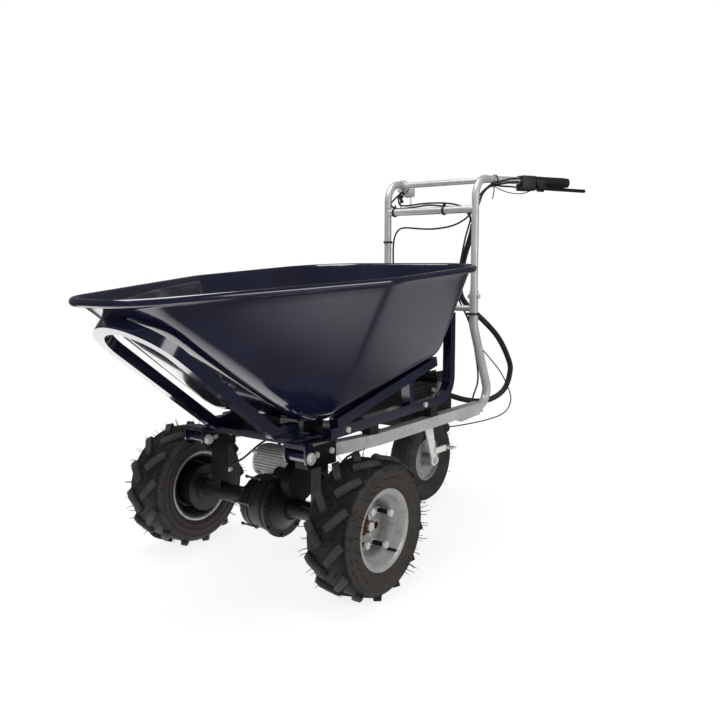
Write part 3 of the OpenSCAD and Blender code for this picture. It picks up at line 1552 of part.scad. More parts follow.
chassis_rails();
deck_plates();
lower_posts();
handle_frame();
handle_crossbars();
frame_bolts();
axle_hangers();
pivot_sleeves();
axle_tubes();
diff_housing();
gear_case();
motor_housing();
axle_bearings();
backing_plates();
brake_shoes();
caster_plate();
battery_box();
controller_box();
rest_pads();
buzzer();
grip_right();
lever_perches();
switch_box();
throttle_housing();
conduit();
control_cables();
cable_ties();
tub_shell();
tub_hoop();
tub_cross_plate();
tub_side_frames();
tub_bolts();
tyre_left();
tyre_right();
rim_left();
rim_right();
hub_left();
hub_right();
wheel_nuts_left();
wheel_nuts_right();
half_shaft_left();
half_shaft_right();
diff_carrier();
idler_gear();
rotor();
caster_fork();
caster_tyre();
caster_rim();
caster_axle();
caster_pedal();
brake_lever_left();
brake_lever_right();
brake_arm_left();
brake_arm_right();
throttle_grip();
key();
horn_button();
direction_rocker();
latch_hook();
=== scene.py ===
import math
import random

import bpy
from mathutils import Matrix, Vector


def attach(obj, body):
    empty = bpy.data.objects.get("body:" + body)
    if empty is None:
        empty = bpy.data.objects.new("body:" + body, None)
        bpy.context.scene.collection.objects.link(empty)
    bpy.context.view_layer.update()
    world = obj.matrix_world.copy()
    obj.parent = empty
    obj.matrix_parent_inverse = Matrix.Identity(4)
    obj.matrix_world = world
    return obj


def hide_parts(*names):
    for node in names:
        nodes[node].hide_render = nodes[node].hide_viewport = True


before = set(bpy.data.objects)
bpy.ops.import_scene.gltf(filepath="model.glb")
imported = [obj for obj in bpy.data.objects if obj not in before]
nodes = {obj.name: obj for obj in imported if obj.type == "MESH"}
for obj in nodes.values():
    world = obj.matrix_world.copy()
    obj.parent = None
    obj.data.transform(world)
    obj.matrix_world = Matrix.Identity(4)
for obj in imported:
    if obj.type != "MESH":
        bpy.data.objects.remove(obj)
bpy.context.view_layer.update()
scene = bpy.context.scene
scene.view_settings.view_transform = "Standard"
axleY = -0.3005  # front axle in the shared frame
axleZ = 0.158
wheelX = 0.292  # middle of each front wheel
print("frame loaded,", len(nodes), "nodes")


# a socket that can be used in plain expressions
class Wire:
    def __init__(self, tree, socket):
        self.tree = tree
        self.socket = socket

    def calc(self, operation, a, b):
        return self.tree.node("ShaderNodeMath", {"operation": operation}, {0: a, 1: b})

    def __add__(self, other):
        return self.calc("ADD", self, other)

    def __radd__(self, other):
        return self.calc("ADD", other, self)

    def __sub__(self, other):
        return self.calc("SUBTRACT", self, other)

    def __rsub__(self, other):
        return self.calc("SUBTRACT", other, self)

    def __mul__(self, other):
        return self.calc("MULTIPLY", self, other)

    def __rmul__(self, other):
        return self.calc("MULTIPLY", other, self)

    def __pow__(self, other):
        return self.calc("POWER", self, other)


class Tree:
    def __init__(self, nodeTree):
        self.tree = nodeTree
        self.tree.nodes.clear()
        self.spot = None

    def node(self, kind, settings=None, sockets=None, out=0):
        made = self.tree.nodes.new(kind)
        for key, value in (settings or {}).items():
            if key == "stops":
                ramp = made.color_ramp
                while len(ramp.elements) < len(value):
                    ramp.elements.new(0.5)
                for element, (place, colour) in zip(ramp.elements, value):
                    element.position = place
                    element.color = (*colour, 1) if len(colour) == 3 else colour
            else:
                setattr(made, key, value)
        for key, value in (sockets or {}).items():
            self.feed(made.inputs[key], value)
        return Wire(self, made.outputs[out])

    def feed(self, socket, value):
        if isinstance(value, Wire):
            self.tree.links.new(value.socket, socket)
        elif isinstance(value, tuple) and len(value) == 3 and socket.type == "RGBA":
            socket.default_value = (*value, 1)
        else:
            socket.default_value = value

    def place(self):
        if self.spot is None:
            self.spot = self.node("ShaderNodeTexCoord", out="Object")
        return self.spot

    def noise(self, scale, detail=3, rough=0.55, stretch=(1, 1, 1)):
        at = self.node("ShaderNodeMapping", {}, {"Vector": self.place(), "Scale": stretch})
        return self.node("ShaderNodeTexNoise", {}, {"Vector": at, "Scale": scale, "Detail": detail,
                                                    "Roughness": rough})

    def ramp(self, value, *stops):
        stops = [(at, (c, c, c) if isinstance(c, (int, float)) else c) for at, c in stops]
        return self.node("ShaderNodeValToRGB", {"stops": stops}, {0: value})

    def mix(self, share, a, b):
        return self.node("ShaderNodeMix", {"data_type": "RGBA"}, {0: share, 6: a, 7: b}, out=2)

    def axis(self, letter):
        return self.node("ShaderNodeSeparateXYZ", {}, {0: self.place()}, out=letter)

    # distance from a line along x
    def reach(self, y, z):
        return ((self.axis("Y") - y) ** 2 + (self.axis("Z") - z) ** 2) ** 0.5

    def bump(self, height, strength, distance):
        return self.node("ShaderNodeBump", {}, {"Height": height, "Strength": strength,
                                                "Distance": distance})


def newFinish(name):
    material = bpy.data.materials.new(name)
    material.use_nodes = True
    tree = Tree(material.node_tree)
    shader = material.node_tree.nodes.new("ShaderNodeBsdfPrincipled")
    output = material.node_tree.nodes.new("ShaderNodeOutputMaterial")
    material.node_tree.links.new(shader.outputs[0], output.inputs[0])
    return material, tree, shader.inputs


def setSockets(tree, sockets, values):
    for key, value in values.items():
        tree.feed(sockets[key], value)


# glossy dark blue sheet metal, with orange peel, dust and faint streaks
navy = {"deep": (0.0036, 0.0046, 0.0175), "pale": (0.0078, 0.009, 0.0275), "dust": (0.12, 0.115, 0.12)}


def makeNavy():
    material, tree, sockets = newFinish("navyPaint")
    cloud = tree.noise(6, 4)
    streak = tree.noise(9, 3, 0.6, (1.2, 1.2, 0.12))
    colour = tree.mix(tree.ramp(cloud, (0.35, 0), (0.7, 1)), navy["deep"], navy["pale"])
    dust = tree.ramp(tree.noise(90, 5, 0.7), (0.58, 0), (0.78, 1)) * tree.ramp(streak, (0.4, 0), (0.75, 1))
    setSockets(tree, sockets, {
        "Base Color": tree.mix(dust * 0.12, colour, navy["dust"]),
        "Roughness": 0.12 + tree.ramp(streak, (0.35, 0), (0.75, 1)) * 0.12 + dust * 0.3,
        "Normal": tree.bump(tree.noise(260, 2, 0.5), 0.06, 0.0006),
        "Coat Weight": 1.0, "Coat Roughness": 0.07, "Coat IOR": 1.6, "IOR": 1.5,
    })
    return material


# silver paint on tube, a little metallic, with grime in random patches
silver = {"light": (0.60, 0.60, 0.585), "dark": (0.47, 0.47, 0.46), "grime": (0.2, 0.19, 0.18)}


def makeSilver():
    material, tree, sockets = newFinish("silverPaint")
    flake = tree.noise(900, 2, 0.6)
    cloud = tree.noise(11, 4, 0.6)
    colour = tree.mix(tree.ramp(cloud, (0.3, 0), (0.72, 1)), silver["dark"], silver["light"])
    stain = tree.ramp(tree.noise(38, 6, 0.72), (0.56, 0), (0.74, 1))
    setSockets(tree, sockets, {
        "Base Color": tree.mix(stain * 0.4, colour, silver["grime"]),
        "Metallic": 0.4,
        "Roughness": 0.34 + flake * 0.1 + stain * 0.16,
        "Normal": tree.bump(flake, 0.08, 0.0004),
    })
    return material


# black satin paint and coated steel
def makeBlackPaint():
    material, tree, sockets = newFinish("blackPaint")
    cloud = tree.noise(24, 4, 0.65)
    worn = tree.ramp(tree.noise(70, 6, 0.75), (0.6, 0), (0.75, 1))
    colour = tree.mix(tree.ramp(cloud, (0.3, 0), (0.7, 1)), (0.002, 0.002, 0.0022), (0.007, 0.0068, 0.0068))
    setSockets(tree, sockets, {
        "Base Color": tree.mix(worn * 0.3, colour, (0.06, 0.056, 0.052)),
        "Roughness": 0.38 + cloud * 0.2,
        "Specular IOR Level": 0.35,
        "Normal": tree.bump(tree.noise(420, 3), 0.12, 0.0005),
    })
    return material


# bright zinc plating with faint yellow and blue patches, darker on the given share of places
def makeZinc(name, metal, share=None, stain=None):
    material, tree, sockets = newFinish(name)
    patch = tree.noise(55, 3, 0.6)
    line = tree.noise(60, 3, 0.6, (0.15, 1, 4))
    tint = tree.mix(tree.ramp(patch, (0.35, 0), (0.65, 1)), (0.80, 0.81, 0.82), (0.86, 0.845, 0.80))
    if share:
        tint = tree.mix(share(tree), tint, tree.mix(patch, stain[0], stain[1]))
    setSockets(tree, sockets, {
        "Base Color": tree.mix(tree.ramp(tree.noise(130, 5, 0.7), (0.6, 0), (0.8, 1)) * 0.5, tint,
                               (0.2, 0.19, 0.18)),
        "Metallic": metal,
        "Roughness": 0.24 + line * 0.2,
        "Normal": tree.bump(line, 0.05, 0.0004),
    })
    return material


# the castle nut in the middle of a wheel
def nutShare(tree):
    return tree.ramp(tree.reach(axleY, axleZ) * 10, (0.2, 1), (0.23, 0))


# bolts low down between the wheels
def axleShare(tree):
    low = tree.ramp(tree.axis("Z"), (0.255, 1), (0.262, 0))
    return low * tree.ramp(tree.axis("Y") + 0.5, (0.33, 1), (0.36, 0))


# rough casting, dark brown with an oily film
def makeCasting():
    material, tree, sockets = newFinish("castIron")
    grain = tree.noise(330, 5, 0.7)
    patch = tree.noise(16, 5, 0.65)
    oily = tree.ramp(patch, (0.35, 0), (0.68, 1))
    colour = tree.mix(oily, (0.004, 0.0035, 0.0032), (0.015, 0.0125, 0.0105))
    setSockets(tree, sockets, {
        "Base Color": colour,
        "Metallic": 0.25,
        "Roughness": 0.42 + patch * 0.25,
        "Normal": tree.bump(grain, 0.35, 0.0012),
    })
    return material


# die cast aluminium, matt, with random lighter and darker patches
def makeAlloy():
    material, tree, sockets = newFinish("castAlloy")
    grain = tree.noise(500, 4, 0.65)
    patch = tree.noise(21, 5, 0.65)
    colour = tree.mix(tree.ramp(patch, (0.3, 0), (0.7, 1)), (0.62, 0.62, 0.605), (0.78, 0.775, 0.76))
    setSockets(tree, sockets, {
        "Base Color": colour,
        "Metallic": 0.35,
        "Roughness": 0.4 + patch * 0.18,
        "Normal": tree.bump(grain, 0.2, 0.0008),
    })
    return material


# grey stove enamel on the pressed rims, with road dirt; painted shade makes the inboard part near the hub near
# black
def makeRimGrey():
    material, tree, sockets = newFinish("rimGrey")
    cloud = tree.noise(18, 4, 0.6)
    dirt = tree.ramp(tree.noise(64, 6, 0.75), (0.5, 0), (0.72, 1))
    colour = tree.mix(tree.ramp(cloud, (0.3, 0), (0.7, 1)), (0.36, 0.36, 0.355), (0.46, 0.455, 0.445))
    across = tree.axis("X").calc("ABSOLUTE", tree.axis("X"), 0)
    radius = tree.reach(axleY, axleZ)
    # painted shade: the inboard part of the rim inside the well, near the hub, is made near black
    paintedShadeInside = tree.ramp(across * 3, (0.83, 1), (0.845, 0)) * tree.ramp(radius * 5, (0.405, 1), (0.43, 0))
    colour = tree.mix(paintedShadeInside * tree.ramp(across * 3, (0.5, 0), (0.55, 1)), colour, (0.02, 0.0195, 0.019))
    setSockets(tree, sockets, {
        "Base Color": tree.mix(dirt * 0.5, colour, (0.11, 0.105, 0.1)),
        "Metallic": 0.3,
        "Roughness": 0.3 + dirt * 0.3,
        "Normal": tree.bump(tree.noise(300, 3), 0.08, 0.0005),
    })
    return material


# tyre rubber with chalky dust; the front tyres' sidewalls are browner, with fine rings, and painted shade
# makes the tread's base between the lugs near black
def makeTyre(name, dark, light, wall=None):
    material, tree, sockets = newFinish(name)
    cloud = tree.noise(15, 5, 0.65)
    dust = tree.ramp(tree.noise(120, 6, 0.75), (0.48, 0), (0.78, 1))
    colour = tree.mix(tree.ramp(cloud, (0.3, 0), (0.72, 1)), dark, light)
    if wall:
        radius = tree.reach(axleY, axleZ)
        ring = radius.calc("SINE", radius * 2300, 0) * 0.5 + 0.5
        around = radius.calc("ARCTAN2", tree.axis("Z") - axleZ, tree.axis("Y") - axleY)
        spoke = radius.calc("SINE", around * 150, 0) * 0.5 + 0.5
        near = tree.ramp(radius * 5, (0.50, 1), (0.555, 1), (0.57, 0))
        side = tree.ramp(radius * 5, (0.60, 1), (0.655, 1), (0.70, 0))
        lines = near * spoke + (1 - near) * ring
        colour = tree.mix(side, colour, tree.mix(cloud * 0.5 + lines * 0.4, wall[0], wall[1]))
        # painted shade: the carcass between the lugs and the foot of each lug are made near black
        paintedGrooveShade = tree.ramp(radius * 5, (0.69, 0), (0.715, 1), (0.742, 1), (0.752, 0))
        colour = tree.mix(paintedGrooveShade * 0.9, colour, (0.004, 0.004, 0.004))
    setSockets(tree, sockets, {
        "Base Color": tree.mix(dust * 0.45, colour, (0.07, 0.064, 0.058)),
        "Roughness": 0.58 + cloud * 0.2 + dust * 0.1,
        "Specular IOR Level": 0.22,
        "Normal": tree.bump(tree.noise(700, 4, 0.7), 0.18, 0.0006),
    })
    return material


# soft black rubber of grips, ties and cable skins
def makeRubber():
    material, tree, sockets = newFinish("blackRubber")
    cloud = tree.noise(60, 4, 0.6)
    colour = tree.mix(tree.ramp(cloud, (0.3, 0), (0.72, 1)), (0.006, 0.006, 0.0065), (0.017, 0.017, 0.0175))
    setSockets(tree, sockets, {
        "Base Color": colour,
        "Roughness": 0.42 + cloud * 0.22,
        "Normal": tree.bump(tree.noise(900, 3, 0.6), 0.1, 0.0004),
    })
    return material


# grained moulded plastic
def makePlastic(name, dark, light, rough):
    material, tree, sockets = newFinish(name)
    grain = tree.node("ShaderNodeTexVoronoi", {}, {"Vector": tree.place(), "Scale": 900})
    cloud = tree.noise(34, 4, 0.6)
    setSockets(tree, sockets, {
        "Base Color": tree.mix(tree.ramp(cloud, (0.3, 0), (0.72, 1)), dark, light),
        "Roughness": rough + cloud * 0.16,
        "Normal": tree.bump(grain, 0.12, 0.0004),
    })
    return material


navyPaint = makeNavy()
silverPaint = makeSilver()
blackPaint = makeBlackPaint()
zincPlate = makeZinc("zincPlate", 0.5)
# a paler, nearly non-metallic copy of the zinc that takes more diffuse light: painted light for caster parts
# in the tub's shade
paintedLitZinc = makeZinc("paintedLitZinc", 0.15)
nutZinc = makeZinc("nutZinc", 0.5, nutShare, ((0.10, 0.045, 0.016), (0.26, 0.13, 0.05)))
boltZinc = makeZinc("boltZinc", 0.5, axleShare, ((0.012, 0.011, 0.01), (0.05, 0.045, 0.04)))
castIron = makeCasting()
castAlloy = makeAlloy()
rimGrey = makeRimGrey()
tyreRubber = makeTyre("tyreRubber", (0.020, 0.0195, 0.019), (0.058, 0.055, 0.052),
                      ((0.012, 0.0106, 0.0098), (0.072, 0.063, 0.058)))
casterRubber = makeTyre("casterRubber", (0.020, 0.0192, 0.0186), (0.055, 0.052, 0.05))
blackRubber = makeRubber()
dirtySteel = makePlastic("dirtySteel", (0.012, 0.011, 0.01), (0.07, 0.065, 0.06), 0.35)
blackPlastic = makePlastic("blackPlastic", (0.008, 0.008, 0.009), (0.021, 0.021, 0.022), 0.42)
palePlastic = makePlastic("palePlastic", (0.40, 0.405, 0.41), (0.52, 0.525, 0.53), 0.3)
redPlastic = makePlastic("redPlastic", (0.23, 0.012, 0.010), (0.33, 0.02, 0.016), 0.28)
finishOf = {
    "navy_paint": navyPaint, "silver_paint": silverPaint, "black_paint": blackPaint, "zinc": zincPlate,
    "cast_iron": castIron, "alloy": castAlloy, "wheel_grey": rimGrey, "tyre": tyreRubber,
    "rubber": blackRubber, "black_plastic": blackPlastic, "grey_plastic": palePlastic,
    "red_plastic": redPlastic,
}
slotOf = {
    "navy_paint": ["tub_shell", "tub_hoop", "tub_cross_plate", "tub_side_frames"],
    "silver_paint": ["chassis_rails", "deck_plates", "lower_posts", "handle_frame", "handle_crossbars"],
    "black_paint": ["axle_hangers", "backing_plates", "brake_lever_left", "brake_lever_right", "gear_case"],
    "zinc": ["frame_bolts", "pivot_sleeves", "axle_bearings", "caster_plate", "tub_bolts", "wheel_nuts_left",
             "wheel_nuts_right", "half_shaft_left", "half_shaft_right", "caster_fork", "caster_axle",
             "caster_pedal", "brake_arm_left", "brake_arm_right", "key", "latch_hook"],
    "cast_iron": ["axle_tubes", "diff_housing", "brake_shoes", "hub_left", "hub_right", "diff_carrier",
                  "idler_gear", "rotor"],
    "alloy": ["motor_housing"],
    "wheel_grey": ["rim_left", "rim_right", "caster_rim"],
    "tyre": ["tyre_left", "tyre_right", "caster_tyre"],
    "rubber": ["rest_pads", "grip_right", "throttle_grip", "conduit", "control_cables", "cable_ties"],
    "black_plastic": ["battery_box", "controller_box", "buzzer", "lever_perches", "switch_box",
                      "direction_rocker"],
    "grey_plastic": ["throttle_housing"],
    "red_plastic": ["horn_button"],
}
for slotName, members in slotOf.items():
    for member in members:
        nodes[member].data.materials.clear()
        nodes[member].data.materials.append(finishOf[slotName])
# the caster fork, pedal and plate take the paler zinc copy, painted light for the tub's shade they stand in
special = {"caster_tyre": casterRubber, "pivot_sleeves": navyPaint, "frame_bolts": boltZinc,
           "wheel_nuts_left": nutZinc, "wheel_nuts_right": nutZinc, "caster_fork": paintedLitZinc,
           "caster_pedal": paintedLitZinc, "caster_plate": paintedLitZinc}
for member, finish in special.items():
    nodes[member].data.materials[0] = finish
print("finishes on", sum(len(v) for v in slotOf.values()), "nodes")


def clearPick():
    if bpy.context.object and bpy.context.object.mode != "OBJECT":
        bpy.ops.object.mode_set(mode="OBJECT")
    bpy.ops.object.select_all(action="DESELECT")


def pick(piece):
    clearPick()
    piece.select_set(True)
    bpy.context.view_layer.objects.active = piece


def keep(piece, name, body, finish):
    pick(piece)
    bpy.ops.object.transform_apply(location=True, rotation=True, scale=True)
    piece.name = name
    piece.data.materials.clear()
    piece.data.materials.append(finish)
    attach(piece, body)
    return piece


def applyAll(piece):
    pick(piece)
    for modifier in list(piece.modifiers):
        bpy.ops.object.modifier_apply(modifier=modifier.name)


# a welded copy of a CAD node, left in edit mode with everything selected
def weldedCopy(nodeName):
    pick(nodes[nodeName])
    bpy.ops.object.duplicate()
    piece = bpy.context.object
    piece.parent = None
    for key in [k for k in piece.keys() if k.startswith("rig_")]:
        del piece[key]
    bpy.ops.object.mode_set(mode="EDIT")
    bpy.ops.mesh.select_all(action="SELECT")
    bpy.ops.mesh.remove_doubles(threshold=0.00002)
    return piece


# a smoothed copy that stands in for its node
def smoothCopy(nodeName, name, body, finish, levels, crease):
    piece = weldedCopy(nodeName)
    bpy.ops.mesh.tris_convert_to_quads(face_threshold=0.8, shape_threshold=3.14)
    bpy.ops.object.mode_set(mode="OBJECT")
    if levels:
        smoother = piece.modifiers.new("smoother", "SUBSURF")
        smoother.levels = levels
        smoother.render_levels = levels
        applyAll(piece)
    pick(piece)
    bpy.ops.object.shade_smooth_by_angle(angle=math.radians(crease))
    keep(piece, name, body, finish)
    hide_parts(nodeName)
    return piece


tubSkin = smoothCopy("tub_shell", "tubSkin", "tub", navyPaint, 1, 50)
conduitSkin = smoothCopy("conduit", "conduitSkin", "chassis", blackRubber, 1, 60)
cableSkins = smoothCopy("control_cables", "cableSkins", "chassis", blackRubber, 1, 60)
print("smooth skins done")


# a CAD node with its sharp edges rounded
def roundedCopy(nodeName, name, finish, edge):
    piece = weldedCopy(nodeName)
    bpy.ops.mesh.dissolve_limited(angle_limit=math.radians(1))
    bpy.ops.object.mode_set(mode="OBJECT")
    soft = piece.modifiers.new("soft", "BEVEL")
    soft.width = edge
    soft.segments = 3
    soft.limit_method = "ANGLE"
    soft.angle_limit = math.radians(35)
    applyAll(piece)
    bpy.ops.object.shade_smooth_by_angle(angle=math.radians(40))
    keep(piece, name, "chassis", finish)
    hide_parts(nodeName)


roundedCopy("switch_box", "switchPod", blackPlastic, 0.004)
roundedCopy("throttle_housing", "throttlePod", palePlastic, 0.004)
print("pods rounded")


# modelling helpers, all sizes in millimetres
mm = 0.001


def startChain(points):
    clearPick()
    bpy.ops.mesh.primitive_plane_add(size=0.01, location=(0, 0, 0))
    piece = bpy.context.object
    bpy.ops.object.mode_set(mode="EDIT")
    bpy.ops.mesh.select_all(action="SELECT")
    bpy.ops.mesh.merge(type="CENTER")
    bpy.ops.transform.translate(value=Vector(points[0]) * mm)
    for a, b in zip(points, points[1:]):
        bpy.ops.mesh.extrude_region_move(TRANSFORM_OT_translate={"value": (Vector(b) - Vector(a)) * mm})
    return piece


def tidyMesh(gap=0.02):
    bpy.ops.mesh.select_all(action="SELECT")
    bpy.ops.mesh.remove_doubles(threshold=gap * mm)
    bpy.ops.mesh.normals_make_consistent(inside=False)
    bpy.ops.object.mode_set(mode="OBJECT")


# spins an outline of (x, radius) about the x axis
def turned(outline, steps, crease=40):
    piece = startChain([(x, 0, r) for x, r in outline])
    bpy.ops.mesh.select_all(action="SELECT")
    bpy.ops.mesh.spin(steps=steps, angle=math.tau, center=(0, 0, 0), axis=(1, 0, 0))
    tidyMesh()
    bpy.ops.object.shade_smooth_by_angle(angle=math.radians(crease))
    return piece


# a round wire through the points
def wired(points, radius, sides=3, turns=2):
    piece = startChain(points)
    bpy.ops.object.mode_set(mode="OBJECT")
    bpy.ops.object.convert(target="CURVE")
    wire = bpy.context.object
    wire.data.bevel_depth = radius * mm
    wire.data.bevel_resolution = sides
    wire.data.use_fill_caps = True
    if turns:
        bpy.ops.object.mode_set(mode="EDIT")
        bpy.ops.curve.select_all(action="SELECT")
        bpy.ops.curve.spline_type_set(type="NURBS")
        wire.data.splines[0].use_endpoint_u = True
        wire.data.splines[0].order_u = 4
        wire.data.splines[0].resolution_u = turns
        bpy.ops.object.mode_set(mode="OBJECT")
    bpy.ops.object.convert(target="MESH")
    piece = bpy.context.object
    bpy.ops.object.shade_smooth_by_angle(angle=math.radians(50))
    return piece


# a block from its lowest and highest corner, edges rounded
def rounded(low, high, edge, rings=2):
    clearPick()
    bpy.ops.mesh.primitive_cube_add(size=1, location=(0, 0, 0))
    piece = bpy.context.object
    low, high = Vector(low) * mm, Vector(high) * mm
    bpy.ops.object.mode_set(mode="EDIT")
    bpy.ops.mesh.select_all(action="SELECT")
    bpy.ops.transform.resize(value=high - low)
    bpy.ops.transform.translate(value=(low + high) / 2)
    bpy.ops.mesh.bevel(offset=edge * mm, segments=rings, affect="EDGES")
    bpy.ops.object.mode_set(mode="OBJECT")
    bpy.ops.object.shade_smooth_by_angle(angle=math.radians(40))
    return piece


# selects the corners that pass the test, and stays in edit mode
def pickCorners(piece, test):
    pick(piece)
    bpy.ops.object.mode_set(mode="EDIT")
    bpy.ops.mesh.select_mode(type="VERT")
    bpy.ops.mesh.select_all(action="DESELECT")
    bpy.ops.object.mode_set(mode="OBJECT")
    for corner in piece.data.vertices:
        corner.select = test(corner.co / mm)
    bpy.ops.object.mode_set(mode="EDIT")


# copies of one piece at the given places, joined into one; the seed goes
def joinCopies(seed, places):
    copies = []
    for place in places:
        copy = seed.copy()
        copy.data = seed.data.copy()
        copy.matrix_world = place
        scene.collection.objects.link(copy)
        copies.append(copy)
    clearPick()
    bpy.data.objects.remove(seed)
    for copy in copies:
        copy.select_set(True)
    bpy.context.view_layer.objects.active = copies[0]
    bpy.ops.object.join()
    piece = bpy.context.object
    bpy.ops.object.transform_apply(location=True, rotation=True, scale=True)
    return piece


def joinAll(pieces):
    clearPick()
    for piece in pieces:
        piece.select_set(True)
    bpy.context.view_layer.objects.active = pieces[0]
    bpy.ops.object.join()
    return bpy.context.object


def spinTo(angle, radius=0.0, x=0.0):
    return Matrix.Rotation(math.radians(angle), 4, "X") @ Matrix.Translation(Vector((x, 0, radius)) * mm)


# puts a wheel piece at the right wheel, and a mirrored copy at the left one
def bothWheels(piece, name, finish, stands=None):
    for side, letter in ((1, "right"), (-1, "left")):
        copy = piece.copy()
        copy.data = piece.data.copy()
        scene.collection.objects.link(copy)
        hub = Matrix.Translation((side * wheelX, axleY, axleZ))
        copy.matrix_world = hub @ Matrix.Diagonal((side, 1, 1, 1))
        keep(copy, name + letter.capitalize(), "wheel_" + letter, finish)
        if side < 0:
            bpy.ops.object.mode_set(mode="EDIT")
            bpy.ops.mesh.select_all(action="SELECT")
            bpy.ops.mesh.normals_make_consistent(inside=False)
            bpy.ops.object.mode_set(mode="OBJECT")
        if stands:
            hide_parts(stands + letter)
    bpy.data.objects.remove(piece)


# front tyres: carcass with moulded rings, chevron lugs, moulding hairs
tyre = {"radius": 158, "lugs": 13, "slant": 48, "lug": (62, 19, 17), "crown": 0.0011, "hair": 0.95, "bare": 32}


def makeTyreBody():
    tread = [(0, 148), (14, 147.9), (28, 147.4), (38, 146.6), (45, 145), (49.5, 142.4), (53, 138.4),
             (55.4, 133.6)]
    wall = [(56.2, 132.4), (57.6, 131.8), (57.9, 130.4), (57.2, 129.4), (57.8, 124), (58, 117), (58.7, 116.2),
            (58.8, 114.8), (58.0, 113.9), (57.5, 108), (56.4, 102.5), (57, 101.4), (57, 100), (55.6, 99)]
    half = tread + wall + [(54.4, 95.4), (52.6, 92.6), (50.4, 91), (48, 90.6), (46, 84)]
    loop = [(-x, r) for x, r in reversed(half)][:-1] + half
    return turned(loop + loop[:1], 96, 42)


def makeLug():
    length, wide, high = tyre["lug"]
    clearPick()
    bpy.ops.mesh.primitive_cube_add(size=1, location=(0, 0, 0))
    lug = bpy.context.object
    bpy.ops.object.mode_set(mode="EDIT")
    bpy.ops.mesh.select_all(action="SELECT")
    bpy.ops.transform.resize(value=Vector((length, wide, high)) * mm)
    bpy.ops.mesh.bisect(plane_co=(length * 0.26 * mm, 0, 0), plane_no=(1, 0, 0))
    bpy.ops.mesh.select_all(action="SELECT")
    bpy.ops.mesh.bisect(plane_co=(-length * 0.30 * mm, 0, 0), plane_no=(1, 0, 0))
    # narrower at the top, crowned across the tread, pulled down over the shoulder
    pickCorners(lug, lambda at: at.z > 0)
    bpy.ops.transform.resize(value=(0.97, 0.80, 1), center_override=(0, 0, 0))
    for x in (-0.485, -0.291, 0.2522, 0.485):
        pickCorners(lug, lambda at: at.z > 0 and abs(at.x - x * length) < 1)
        bpy.ops.transform.translate(value=(0, 0, -(x * length) ** 2 * tyre["crown"] * mm))
    pickCorners(lug, lambda at: at.z > 0 and at.x > 0.4 * length)
    bpy.ops.transform.resize(value=(1, 1.12, 1), center_override=(0, 0, 0))
    bpy.ops.transform.translate(value=Vector((0, 0, -4.5)) * mm)
    pickCorners(lug, lambda at: at.z < 0 and at.x > 0.4 * length)
    bpy.ops.transform.translate(value=Vector((3, 0, -9)) * mm)
    pickCorners(lug, lambda at: at.x < -0.4 * length)
    bpy.ops.transform.resize(value=(1, 0.9, 1), center_override=(0, 0, 0))
    bpy.ops.mesh.select_all(action="SELECT")
    bpy.ops.mesh.bevel(offset=1.5 * mm, segments=2, affect="EDGES")
    bpy.ops.object.mode_set(mode="OBJECT")
    bpy.ops.object.shade_smooth_by_angle(angle=math.radians(35))
    return lug


def lugPlaces():
    places = []
    lift = tyre["radius"] - tyre["lug"][2] / 2
    for side in (-1, 1):
        for k in range(tyre["lugs"]):
            # the modelled row starts with a lug straight up on the left, half a step on at the right
            turn = 360 / tyre["lugs"] * (k + (0.5 if side > 0 else 0))
            slant = Matrix.Rotation(math.radians(tyre["slant"] if side > 0 else 180 - tyre["slant"]), 4, "Z")
            places.append(spinTo(turn, lift, side * 27) @ slant)
    return places


def makeHair():
    clearPick()
    bpy.ops.mesh.primitive_circle_add(vertices=5, radius=tyre["hair"] * mm, fill_type="NGON")
    hair = bpy.context.object
    bpy.ops.object.mode_set(mode="EDIT")
    bpy.ops.mesh.select_all(action="SELECT")
    for step, lean in ((7, 0.0), (6, 0.9), (5, 1.6)):
        bpy.ops.mesh.extrude_region_move(TRANSFORM_OT_translate={"value": Vector((0, lean, step)) * mm})
        bpy.ops.transform.resize(value=(0.83, 0.83, 0.83))
    tidyMesh()
    return hair


def hairPlaces(seed):
    dice = random.Random(seed)
    places = []
    rows = [(58, 118, 30, 76), (55.5, 133, 30, 52), (50, 142, 26, 34), (-50, 142, 26, -34),
            (-55.5, 133, 24, -52), (24, 147.5, 20, 8), (-24, 147.5, 20, -8), (6, 148, 14, 0)]
    for x, radius, count, tip in rows:
        for k in range(count):
            turn = 360 / count * (k + dice.uniform(-0.35, 0.35)) + x
            down = abs((turn + 180) % 360 - 180)
            if down < tyre["bare"]:
                continue
            size = dice.uniform(0.72, 1.25)
            aim = Matrix.Rotation(math.radians(tip + dice.uniform(-9, 9)), 4, "Y")
            twist = Matrix.Rotation(dice.uniform(0, math.tau), 4, "Z")
            places.append(Matrix.Rotation(math.radians(turn + 180), 4, "X")
                          @ Matrix.Translation(Vector((x, 0, radius - 0.8)) * mm) @ aim @ twist
                          @ Matrix.Scale(size, 4))
    return places


tyreBody = makeTyreBody()
lugRing = joinCopies(makeLug(), lugPlaces())
bothWheels(joinAll([tyreBody, lugRing]), "tyre", tyreRubber, "tyre_")
bothWheels(joinCopies(makeHair(), hairPlaces(7)), "hairs", blackRubber)
print("front tyres done")

# moulding hairs on the caster's tyre: rows at a share of its half width and radius, count, lean
casterHair = [(0.95, 0.86, 18, 60), (0.6, 0.97, 16, 25), (-0.6, 0.97, 16, -25), (-0.95, 0.86, 18, -60)]


